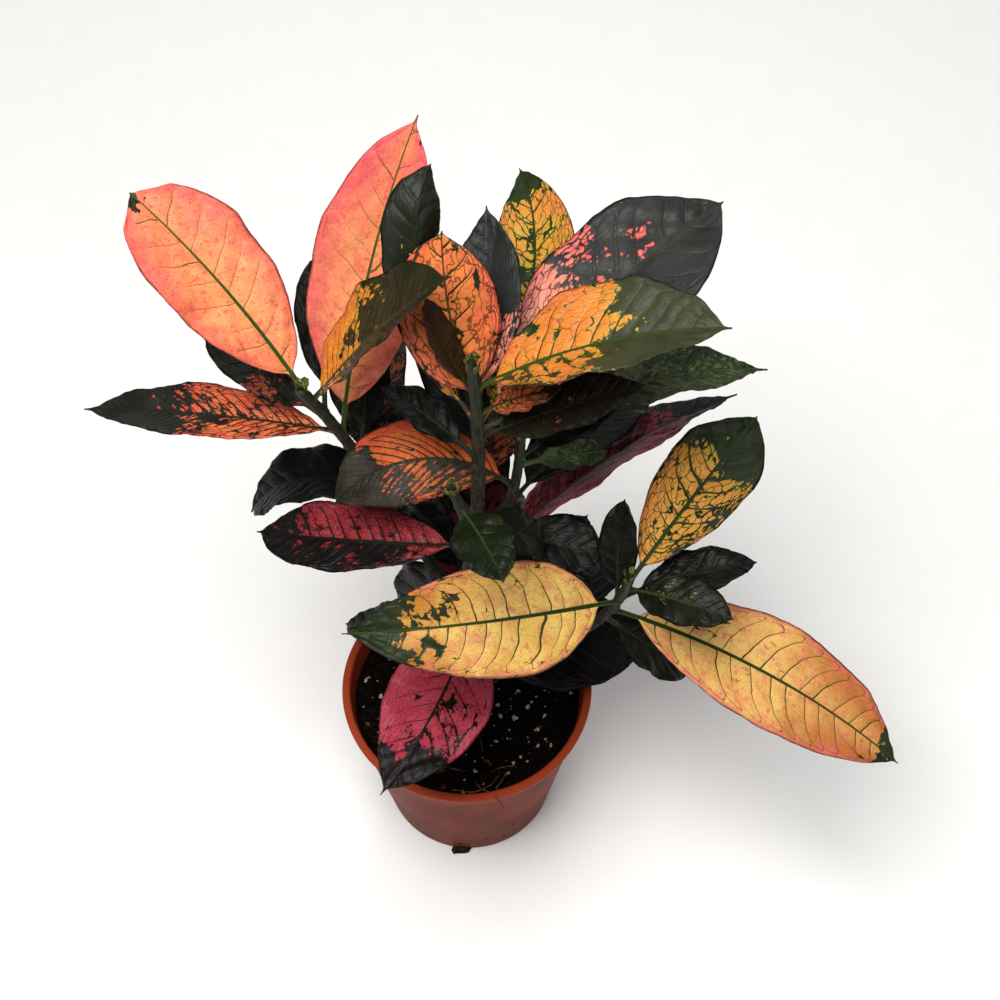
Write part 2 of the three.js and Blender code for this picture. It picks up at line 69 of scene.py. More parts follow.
# A leaf: place on its shoot, stalk, turn, rise, fall, sweep, roll, length, width, form, slot and its dye
leaves = {
    "left": [
        [0.97, 12, 140, 52, 26, 6, -8, 95, 46, "round", "coral", "coral"],
        [0.95, 8, -2, 63, 13, -12, 6, 98, 42, "keeled", "orange", "oliveFlame"],
        [0.88, 12, 90, 22, 20, 10, 10, 62, 24, "oval", "dark", "nightPaintedShade"],
        [0.84, 12, 156, 32, 30, -10, -10, 52, 20, "oval", "dark", "emberRim"],
        [0.8, 6, 174, 8, 30, -10, 5, 110, 30, "spear", "dark", "ember"],
        [0.78, 16, 68, 71, 21, -14, 10, 128, 47, "oval", "coral", "coralPink"],
        [0.66, 14, 92, 52, 30, -20, -10, 48, 22, "oval", "dark", "nightPaintedShade"],
        [0.62, 12, 96, 24, 65, -5, 5, 90, 38, "oval", "dark", "emberRim"],
        [0.45, 10, 136, 16, 80, 55, 5, 84, 36, "paddle", "dark", "blackPaintedShade"],
    ],
    "crown": [
        [0.93, 8, 152, 57, -8, -22, -10, 41, 12, "spear", "dark", "maroon"],
        [0.95, 10, 1, 42, 32, -9, -4, 96, 50, "keeled", "orange", "orangeGreen"],
        [0.91, 6, 126, 52, -6, -36, -14, 65, 40, "plain", "orange", "orangeNet"],
        [0.9, 10, 75, 47, 15, 22, -22, 69, 31, "spear", "dark", "slate"],
        [0.86, 10, 146, 43, -36, -78, 26, 102, 28, "curled", "dark", "greyGreen"],
        [0.82, 12, 55, 33, 37, 52, -20, 116, 39, "broad", "yellow", "goldNet"],
        [0.86, 12, 35, 39, 35, 4, 0, 121, 58, "corner", "dark", "slateRose"],
        [0.88, 8, -8, 52, 35, 5, 15, 32, 14, "oval", "red", "redNet"],
        [0.84, 12, 22, 10, 30, -8, -20, 116, 44, "spear", "green", "deepGreen"],
        [0.82, 10, -8, 44, 30, 15, 10, 66, 24, "spear", "dark", "brown"],
        [0.76, 10, 144, 32, 30, 5, 0, 40, 18, "oval", "dark", "nightPaintedShade"],
        [0.72, 14, 98, 26, 35, 5, 5, 84, 40, "oval", "dark", "nightPaintedShade"],
        [0.64, 14, 78, 6, 30, 10, -5, 96, 44, "oval", "dark", "emberRim"],
        [0.6, 14, 130, 8, 35, 0, 10, 82, 36, "oval", "dark", "nightPaintedShade"],
        [0.48, 10, 92, 8, 25, 0, 0, 76, 36, "oval", "dark", "crimsonNight"],
        [0.4, 12, 114, -4, 30, 10, 0, 84, 36, "oval", "dark", "nightPaintedShade"],
        [0.37, 12, 80, -2, 30, 3, 0, 80, 34, "oval", "dark", "blackPaintedShade"],
        [0.36, 12, 146, -24, 50, 10, -45, 52, 36, "oval", "dark", "blackPaintedShade"],
        [0.34, 12, 26, 6, 15, 35, 15, 66, 30, "oval", "dark", "nightPaintedShade"],
        [0.28, 12, -102, 16, 30, -25, -5, 84, 49, "tapered", "crimson", "crimsonRose"],
        [0.25, 12, 92, 12, 40, 0, 0, 84, 40, "oval", "crimson", "crimson"],
        [0.26, 12, 154, -28, 15, -5, -5, 78, 26, "oval", "crimson", "crimson"],
        [0.16, 12, 13, 8, 30, 5, 15, 82, 50, "oval", "dark", "blackPaintedShade"],
    ],
    "mid": [
        [0.93, 10, 14, 44, 25, 5, 10, 42, 18, "oval", "dark", "nightPaintedShade"],
        [0.9, 8, 14, 4, 25, 5, 15, 32, 14, "oval", "green", "deepGreen"],
        [0.8, 8, 162, 47, 96, 48, -20, 81, 37, "domed", "red", "flame"],
        [0.72, 12, 52, 10, 40, -5, -5, 90, 36, "oval", "dark", "nightPaintedShade"],
        [0.56, 10, -8, 8, 20, -10, 15, 38, 28, "oval", "dark", "nightPaintedShade"],
        [0.44, 12, 40, 26, 30, -15, -35, 126, 44, "spear", "crimson", "crimsonLong"],
    ],
    "front": [
        [0.92, 6, -64, 28, 30, -5, 5, 40, 26, "oval", "green", "bottleGreen"],
        [0.8, 6, 16, -14, 60, -10, 10, 44, 22, "oval", "dark", "nightPaintedShade"],
        [0.66, 8, 172, -10, 13, -14, -4, 95, 36, "paddle", "crimson", "crimsonBlack"],
        [0.5, 10, 128, 4, 20, 0, 30, 44, 18, "oval", "dark", "blackPaintedShade"],
    ],
    "right": [
        [0.97, 10, 52, 18, 15, 0, 0, 90, 41, "corner", "yellow", "goldGreen"],
        [0.95, 6, -32, 34, 40, 10, 10, 46, 24, "oval", "green", "greenStreak"],
        [0.86, 8, 104, 76, 30, -30, -10, 44, 18, "oval", "dark", "nightPaintedShade"],
        [0.88, 10, 2, 40, 45, 10, -5, 54, 24, "oval", "dark", "nightPaintedShade"],
        [0.86, 12, -147, 34, 48, -38, -38, 119, 50, "tapered", "yellow", "yellow"],
        [0.8, 12, -16, -6, 30, -10, 10, 142, 51, "broad", "yellow", "yellowPink"],
        [0.74, 8, -18, -36, 10, 15, 10, 50, 28, "oval", "dark", "nightPaintedShade"],
        [0.62, 10, 84, -4, 40, -10, -5, 66, 30, "oval", "dark", "blackPaintedShade"],
        [0.42, 10, 84, 0, 40, 5, 0, 64, 30, "oval", "dark", "crimsonNight"],
    ],
}

# Camera, light and floor

cameraSetup = {
    "place": (0.0164, -0.4103, 0.9047),
    "down": 57,  # degrees below level
    "lens": 64.8,
    "sensor": 36,
}
lightSetup = {
    "key": {"place": (-0.3, -0.3, 1.7), "size": 1.0, "watts": 30, "colour": (1.0, 0.98, 0.95)},
    "fill": {"place": (0.7, -1.0, 1.1), "size": 0.9, "watts": 3.6, "colour": (0.95, 0.97, 1.0)},
    "back": {"place": (0.2, 0.9, 1.3), "size": 0.9, "watts": 4.6, "colour": (1.0, 0.99, 0.97)},
    "world": (0.93, 0.94, 0.95),
    "worldStrength": 0.14,
}


# A camera that looks down by an angle, straight on to the plant's front.
def makeCamera():
    data = bpy.data.cameras.new("plantCamera")
    data.lens = cameraSetup["lens"]
    data.sensor_width = cameraSetup["sensor"]
    data.clip_start = 0.01
    camera = bpy.data.objects.new("plantCamera", data)
    camera.location = cameraSetup["place"]
    camera.rotation_euler = (math.radians(90 - cameraSetup["down"]), 0, 0)
    bpy.context.scene.collection.objects.link(camera)
    bpy.context.scene.camera = camera


# Three round lamps that face the middle of the leaves, and an even pale sky.
def makeLights():
    for name in ("key", "fill", "back"):
        setup = lightSetup[name]
        data = bpy.data.lights.new(name + "Light", "AREA")
        data.shape = "DISK"
        data.size = setup["size"]
        data.energy = setup["watts"]
        data.color = setup["colour"]
        lamp = bpy.data.objects.new(name + "Light", data)
        lamp.location = setup["place"]
        aim = lamp.location.copy()
        aim.z -= 0.2  # toward the middle of the leaves
        lamp.rotation_euler = aim.to_track_quat("Z", "Y").to_euler()
        bpy.context.scene.collection.objects.link(lamp)
    world = bpy.data.worlds.new("paleRoom")
    world.use_nodes = True
    sky = world.node_tree.nodes["Background"]
    sky.inputs["Color"].default_value = (*lightSetup["world"], 1)
    sky.inputs["Strength"].default_value = lightSetup["worldStrength"]
    bpy.context.scene.world = world
    bpy.context.scene.view_settings.view_transform = "Standard"


makeCamera()
makeLights()
print("camera and lights are up")

# Small helpers for numbers


# Three squares less two cubes of x, held between 0 and 1.
def easeInOut(x):
    c = np.clip(x, 0, 1)
    return c * c * (3 - 2 * c)


# One in the middle and falling off as a bell with that half width.
def bump(x, width):
    return np.exp(-((x / width) ** 2))


# A smooth random curve of about unit height: five sines of x with seeded phases.
def drift(x, seed):
    random = np.random.default_rng(seed)
    total = np.zeros_like(x, dtype=float)
    for cycles in (0.7, 1.1, 1.9, 3.1, 4.7):
        total += np.sin(2 * np.pi * (cycles * x + random.random())) / (1 + 0.35 * cycles)
    return total / 1.6


# A smooth random field: plane waves of about that length in seeded directions, added up.
def clouds(points, size, seed, waves=14):
    random = np.random.default_rng(seed)
    total = np.zeros(len(points))
    for _ in range(waves):
        way = random.normal(size=3)
        way *= 2 * np.pi / (size * random.uniform(0.7, 1.5) * np.linalg.norm(way))
        total += np.sin(points @ way + random.uniform(0, 2 * np.pi))
    return total / math.sqrt(waves)


# Meshes


# Quads over rows of closed rings, and a fan to a middle point past each end.
def skinFaces(rows, ring):
    i, k = np.meshgrid(np.arange(rows - 1), np.arange(ring), indexing="ij")
    a = i * ring + k
    b = i * ring + (k + 1) % ring
    quads = np.stack([a, a + ring, b + ring, b], -1).reshape(-1, 4)
    k = np.arange(ring)
    after = (k + 1) % ring
    first = np.full(ring, rows * ring)
    start = np.stack([k, after, first], -1)
    end = np.stack([after, k, first + 1], -1)
    end[:, :2] += (rows - 1) * ring
    return [quads, np.concatenate([start, end])]


# The sum of the tetrahedra that each face makes with the origin.
def enclosedVolume(points, faces):
    total = 0.0
    for group in faces:
        for k in range(1, group.shape[1] - 1):
            a, b, c = points[group[:, 0]], points[group[:, k]], points[group[:, k + 1]]
            total += np.einsum("ij,ij->i", a, np.cross(b, c)).sum()
    return total / 6


# A mesh from points in millimetres. Faces that enclose a negative volume are turned round.
def makeMesh(name, points, faces, pointData=None):
    if enclosedVolume(points, faces) < 0:
        faces = [group[:, ::-1] for group in faces]
    mesh = bpy.data.meshes.new(name)
    corners = np.concatenate([group.ravel() for group in faces]).astype(np.int32)
    sizes = np.concatenate([np.full(len(group), group.shape[1]) for group in faces])
    starts = np.concatenate([[0], np.cumsum(sizes)[:-1]]).astype(np.int32)
    mesh.vertices.add(len(points))
    mesh.vertices.foreach_set("co", (points * mm).astype(np.float32).ravel())
    mesh.loops.add(len(corners))
    mesh.loops.foreach_set("vertex_index", corners)
    mesh.polygons.add(len(sizes))
    mesh.polygons.foreach_set("loop_start", starts)
    mesh.polygons.foreach_set("use_smooth", np.ones(len(sizes), bool))
    for title, values in (pointData or {}).items():
        kind = "FLOAT_VECTOR" if values.ndim == 2 else "FLOAT"
        layer = mesh.attributes.new(title, kind, "POINT")
        layer.data.foreach_set("vector" if values.ndim == 2 else "value", values.astype(np.float32).ravel())
    mesh.update(calc_edges=True)
    mesh.validate()
    return mesh


# A piece on the body, with its material and, where it stands for a solid, that solid's node.
def addPiece(name, mesh, material, node=None):
    piece = bpy.data.objects.new(name, mesh)
    mesh.materials.append(material)
    bpy.context.scene.collection.objects.link(piece)
    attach(piece, body)
    if node:
        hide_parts(node)
    return piece


# Shader nodes


# A colour written as six hex digits, made linear.
def tone(code):
    parts = [int(code[i:i + 2], 16) / 255 for i in (0, 2, 4)]
    return (*[p / 12.92 if p < 0.04 else ((p + 0.055) / 1.055) ** 2.4 for p in parts], 1.0)


# Links another node's socket, or sets a plain value.
def plug(tree, value, socket):
    if isinstance(value, bpy.types.NodeSocket):
        tree.links.new(value, socket)
    else:
        socket.default_value = value


# A node with its inputs plugged and its settings set.
def addNode(tree, kind, inputs=None, **settings):
    made = tree.nodes.new(kind)
    for title, value in settings.items():
        setattr(made, title, value)
    for title, value in (inputs or {}).items():
        plug(tree, value, made.inputs[title])
    return made


# One sum of numbers, named by its operation.
def calc(tree, operation, *values):
    made = addNode(tree, "ShaderNodeMath", dict(enumerate(values)), operation=operation)
    return made.outputs[0]


# Rises smoothly from 0 at low to 1 at high.
def between(tree, value, low, high):
    inputs = {"Value": value, "From Min": low, "From Max": high}
    return addNode(tree, "ShaderNodeMapRange", inputs, interpolation_type="SMOOTHSTEP").outputs[0]


# The first colour where the share is 0, the second where it is 1.
def blendColours(tree, share, first, second):
    inputs = {0: share, 6: first, 7: second}
    return addNode(tree, "ShaderNodeMix", inputs, data_type="RGBA").outputs[2]


# Noise between 0 and 1, with that many waves to a unit of length and finer ones added by the detail.
def noiseAt(tree, place, scale, detail=2.0):
    inputs = {"Vector": place, "Scale": scale, "Detail": detail}
    return addNode(tree, "ShaderNodeTexNoise", inputs).outputs["Fac"]


# The point on the piece in metres, stretched along the axes where that is given.
def objectPlace(tree, stretch=None):
    place = addNode(tree, "ShaderNodeTexCoord").outputs["Object"]
    if stretch:
        place = addNode(tree, "ShaderNodeMapping", {"Vector": place, "Scale": stretch}).outputs[0]
    return place


# One channel of a cell's random colour, which serves as a random number.
def channel(tree, colour, index):
    return addNode(tree, "ShaderNodeSeparateColor", {0: colour}).outputs[index]


# A node group with its sockets, its inputs by name and its output node.
def startGroup(name, inputs, outputs):
    tree = bpy.data.node_groups.new(name, "ShaderNodeTree")
    for title, value in inputs.items():
        kind = "NodeSocketFloat" if isinstance(value, (int, float)) else "NodeSocketColor"
        socket = tree.interface.new_socket(title, in_out="INPUT", socket_type=kind)
        socket.default_value = value if kind == "NodeSocketFloat" else tone(value)
    for title, kind in outputs.items():
        tree.interface.new_socket(title, in_out="OUTPUT", socket_type=kind)
    given = tree.nodes.new("NodeGroupInput").outputs
    result = tree.nodes.new("NodeGroupOutput").inputs
    return tree, given, result


# The group in a material, with its own values by name.
def placeGroup(tree, group, values):
    made = tree.nodes.new("ShaderNodeGroup")
    made.node_tree = group
    for title, value in values.items():
        plug(tree, tone(value) if isinstance(value, str) else value, made.inputs[title])
    return made.outputs


# A material whose shader has those plain values.
def startMaterial(name, shaderValues):
    material = bpy.data.materials.new(name)
    material.use_nodes = True
    tree = material.node_tree
    shader = tree.nodes["Principled BSDF"]
    for title, value in shaderValues.items():
        shader.inputs[title].default_value = value
    return material, tree, shader


# A bump on the shader's normal: the height times the distance, which is in metres.
def setRelief(tree, shader, height, distance, strength):
    relief = addNode(tree, "ShaderNodeBump", {"Height": height, "Distance": distance, "Strength": strength})
    plug(tree, relief.outputs["Normal"], shader.inputs["Normal"])


# What a croton leaf's dye can do. Its tones come in the order of these names. Widths and distances are in
# millimetres. Dark parts grow out from the veins by the spread, which may be greater at the tip, edge or
# base, or on one half of the blade.
toneNames = ["Light", "Light two", "Far light", "Centre", "Flush", "Speck", "Dark", "Dark two", "Fringe",
             "Rib", "Vein"]
dyeDefaults = {
    "tones": "f0a070 f08060 f0a070 f0a070 e05060 a02c30 14170e 24261a 3c5020 3c5a20 2f3a16",
    "Far from": 1.5, "Centre share": 0.0, "Flush share": 0.5, "Flush from": 0.6, "Speck share": 0.1,
    "Rib width": 1.1, "Vein width": 0.3, "Vein reach": 0.9, "Arc share": 0.3, "Net width": 0.12,
    "Net share": 1.0, "Crackle": 0.35, "Spread": -1.0, "Tip from": 0.9, "Tip spread": 6.0, "Edge from": 0.9,
    "Edge spread": 0.0, "Base to": 0.1, "Base spread": 0.0, "Left spread": 0.0, "Right spread": 0.0,
    "Blotch size": 22.0, "Blotch spread": 1.0, "Grain spread": 0.8, "Grain size": 2.2, "Fine gap": 0.7,
    "Softness": 0.16, "Relief": 1.0,
}


# How fine the dye's clouds are, in waves per millimetre
dyeScales = {
    "dark": 0.06, "light": 0.09, "ragged": 0.1, "patch": 0.13, "wobble": 0.16, "mottle": 0.22, "stir": 0.26,
    "blots": 0.34, "pores": 0.5, "brink": 0.7, "dots": 0.9, "dust": 1.3,
}


# A dye's values by the names of the group's inputs.
def spelledOut(dye):
    values = {title: value for title, value in dye.items() if title not in ("tones", "veins")}
    return {**dict(zip(toneNames, dye["tones"].split())), **values}


# The dye of a blade, worked out in its own measures: along and across it, and from its veins. It is dark
# where the spread is wider than the way to the nearest vein, and light with a flush and specks elsewhere.
def makeDyeGroup():
    outputs = {"Color": "NodeSocketColor", "Height": "NodeSocketFloat", "Roughness": "NodeSocketFloat"}
    tree, given, result = startGroup("crotonDye", spelledOut(dyeDefaults), outputs)

    def chained(operation):
        def apply(*values):
            total = values[0]
            for value in values[1:]:
                total = calc(tree, operation, total, value)
            return total
        return apply

    times = chained("MULTIPLY")
    plus = chained("ADD")
    less = chained("SUBTRACT")
    least = chained("MINIMUM")
    most = chained("MAXIMUM")

    def rest(a):
        return less(1.0, a)

    def timesPlus(a, b, c):
        return calc(tree, "MULTIPLY_ADD", a, b, c)

    def centred(a):
        return less(a, 0.5)

    def ramp(value, low, high):
        return between(tree, value, low, high)

    def vector(operation, a, b):
        return addNode(tree, "ShaderNodeVectorMath", {0: a, 1: b}, operation=operation).outputs[0]

    def joined(x, y, z=0.0):
        return addNode(tree, "ShaderNodeCombineXYZ", {0: x, 1: y, 2: z}).outputs[0]

    def noise(title, detail=3.0, place=None):
        return noiseAt(tree, flat if place is None else place, dyeScales[title], detail)

    def cellsAt(place, scale, feature, dimensions="3D"):
        inputs = {"Vector": place, "Scale": scale}
        settings = {"voronoi_dimensions": dimensions, "feature": feature}
        return addNode(tree, "ShaderNodeTexVoronoi", inputs, **settings).outputs

    def mixed(share, first, second):
        return blendColours(tree, share, first, second)

    def parts(title):
        source = addNode(tree, "ShaderNodeAttribute", attribute_name=title).outputs["Vector"]
        split = addNode(tree, "ShaderNodeSeparateXYZ", {0: source}).outputs
        return source, split["X"], split["Y"], split["Z"]

    _, along, across, t = parts("blade")
    _, c, under, seed = parts("share")
    _, count, spacing, half = parts("veins")
    cellPlace, _, _, cellSize = parts("cells")
    out = calc(tree, "ABSOLUTE", across)
    wide = calc(tree, "ABSOLUTE", c)
    flat = joined(along, across, times(seed, 37.0))
    leftHalf = ramp(across, -0.6, 0.6)

    # how far it is to the midrib and the side veins, whose vigour is random
    toRib = less(out, times(given["Rib width"], rest(times(t, 0.75)), 0.5))
    rank = timesPlus(leftHalf, 31.0, plus(calc(tree, "ROUND", count), times(seed, 70.0)))
    vigour = addNode(tree, "ShaderNodeTexWhiteNoise", {"W": rank}, noise_dimensions="1D").outputs["Value"]
    veinHalf = times(given["Vein width"], less(1.15, times(wide, 0.75)), timesPlus(vigour, 0.7, 0.6))
    fromVein = times(calc(tree, "PINGPONG", count, 0.5), spacing, 0.9)
    fromVein = plus(fromVein, times(most(less(wide, 0.8), 0.0), 14.0))
    toVein = less(fromVein, times(veinHalf, 0.5))

    # to the arcs that join the side veins near the edge
    cell = calc(tree, "FRACT", count)
    arcPlace = plus(0.78, times(cell, rest(cell), 0.48))
    toArc = less(times(calc(tree, "ABSOLUTE", less(wide, arcPlace)), half), times(veinHalf, 0.35))
    shownArc = plus(toArc, times(rest(given["Arc share"]), 6.0))

    # to the net between them, stirred so that its cells aren't all alike, and to the fine cells
    stir = addNode(tree, "ShaderNodeTexNoise", {"Vector": flat, "Scale": dyeScales["stir"], "Detail": 1.0})
    stir = vector("SUBTRACT", stir.outputs["Color"], (0.5, 0.5, 0.5))
    cellPlace = vector("ADD", cellPlace, vector("MULTIPLY", stir, (1.3, 1.3, 0)))
    fromNet = times(cellsAt(cellPlace, 1.0, "DISTANCE_TO_EDGE", "2D")["Distance"], cellSize)
    toCorner = times(less(0.64, cellsAt(cellPlace, 1.0, "F1", "2D")["Distance"]), cellSize)
    toNet = less(fromNet, times(given["Net width"], 0.5))
    shownNet = plus(toNet, times(rest(given["Net share"]), 5.0))
    wobble = noise("wobble", 1.0)
    stirred = vector("ADD", flat, joined(times(wobble, 6.0), times(wobble, -4.0)))
    fineScale = calc(tree, "DIVIDE", 1.0, given["Grain size"])
    fromFine = times(cellsAt(stirred, fineScale, "DISTANCE_TO_EDGE")["Distance"], given["Grain size"])
    fineChance = channel(tree, cellsAt(stirred, fineScale, "F1")["Color"], 0)

    # dark parts: where the spread is wider than the way to the nearest of these
    nearest = least(toVein, toRib, shownArc, shownNet, plus(toCorner, 0.3))
    nearest = least(nearest, plus(fromFine, given["Fine gap"]))
    nearest = plus(nearest, times(centred(noise("brink", 2.0)), 1.1))
    blotchScale = calc(tree, "DIVIDE", 1.0, given["Blotch size"])
    blotches = times(centred(noiseAt(tree, flat, blotchScale, 3.0)), 4.0)
    ragged = timesPlus(centred(noise("ragged")), 0.35, t)
    spread = given["Spread"]
    for amount, title in (
        (blotches, "Blotch spread"),
        (centred(fineChance), "Grain spread"),
        (ramp(ragged, given["Tip from"], 1.02), "Tip spread"),
        (ramp(wide, given["Edge from"], 1.0), "Edge spread"),
        (rest(ramp(ragged, 0.0, given["Base to"])), "Base spread"),
        (leftHalf, "Left spread"),
        (rest(leftHalf), "Right spread"),
    ):
        spread = timesPlus(amount, given[title], spread)
    depth = less(spread, nearest)
    dark = ramp(depth, times(given["Softness"], -1.0), given["Softness"])
    fringe = times(ramp(depth, -1.0, 0.3), rest(ramp(depth, 0.6, 2.2)))

    # light parts: two tones in soft clouds, another one far out and one in the middle, and a flush
    light = mixed(ramp(noise("light"), 0.38, 0.62), given["Light"], given["Light two"])
    light = mixed(ramp(ragged, given["Far from"], plus(given["Far from"], 0.3)), light, given["Far light"])
    light = mixed(times(rest(ramp(wide, 0.1, 0.7)), given["Centre share"]), light, given["Centre"])
    mottle = noise("mottle", 4.0)
    rim = ramp(timesPlus(centred(mottle), 0.9, wide), given["Flush from"], 1.0)
    patch = ramp(noise("patch", 3.0, stirred), 0.52, 0.68)
    blots = ramp(noise("blots"), 0.56, 0.68)
    light = mixed(times(most(rim, times(patch, 0.6), blots), given["Flush share"]), light, given["Flush"])

    # dust and specks on them
    dust = noise("dust")
    light = mixed(times(ramp(dust, 0.5, 0.72), 0.14), light, given["Speck"])
    light = mixed(times(ramp(dust, 0.52, 0.3), 0.05), light, (1, 1, 0.8, 1))
    dots = cellsAt(flat, dyeScales["dots"], "F1")
    crowd = times(given["Speck share"], ramp(mottle, 0.42, 0.62), 2.2)
    dotSize = timesPlus(channel(tree, dots["Color"], 2), 0.26, 0.12)
    dotted = rest(ramp(dots["Distance"], times(dotSize, 0.6), dotSize))
    dotted = times(calc(tree, "LESS_THAN", channel(tree, dots["Color"], 1), crowd), dotted)
    light = mixed(times(dotted, 0.75), light, given["Speck"])

    # the fringe and all the lines lie over the light parts, then come the dark parts and the midrib
    crisp = 0.16
    reach = times(given["Vein reach"], timesPlus(vigour, 0.8, 0.45))
    inVein = times(rest(ramp(toVein, -0.02, crisp)), rest(ramp(wide, less(reach, 0.12), plus(reach, 0.1))))
    inArc = times(rest(ramp(toArc, -0.02, crisp)), given["Arc share"])
    inNet = times(rest(ramp(toNet, -0.04, crisp)), given["Net share"], 0.8)
    inFine = times(rest(ramp(fromFine, 0.0, 0.26)), given["Crackle"])
    dyed = mixed(times(fringe, 0.6), light, given["Fringe"])
    dyed = mixed(most(inVein, inArc, inNet, inFine), dyed, given["Vein"])
    darkTone = mixed(ramp(noise("dark", 4.0), 0.35, 0.65), given["Dark"], given["Dark two"])
    darkTone = mixed(times(most(inVein, times(inFine, 0.5)), 0.4), darkTone, given["Vein"])
    dyed = mixed(dark, dyed, darkTone)
    dyed = mixed(rest(ramp(toRib, -0.1, 0.22)), dyed, mixed(ramp(t, 0.3, 0.9), given["Rib"], given["Vein"]))
    thinEdge = ramp(times(rest(wide), half), 0.4, 0.0)
    dyed = mixed(times(thinEdge, 0.75), dyed, given["Dark two"])
    underside = mixed(0.4, dyed, (0.12, 0.06, 0.045, 1))
    plug(tree, mixed(under, dyed, underside), result["Color"])

    # relief finer than the mesh: veins sunk in, the net between them and the skin's pores
    sunk = ramp(least(toVein, toArc), 0.0, 1.1)
    sunkNet = times(ramp(fromNet, 0.0, 0.9), 0.4)
    height = plus(sunk, sunkNet, times(noise("pores", 2.0), 0.35))
    plug(tree, times(height, given["Relief"]), result["Height"])
    plug(tree, timesPlus(under, 0.2, timesPlus(mottle, 0.2, 0.34)), result["Roughness"])
    return tree


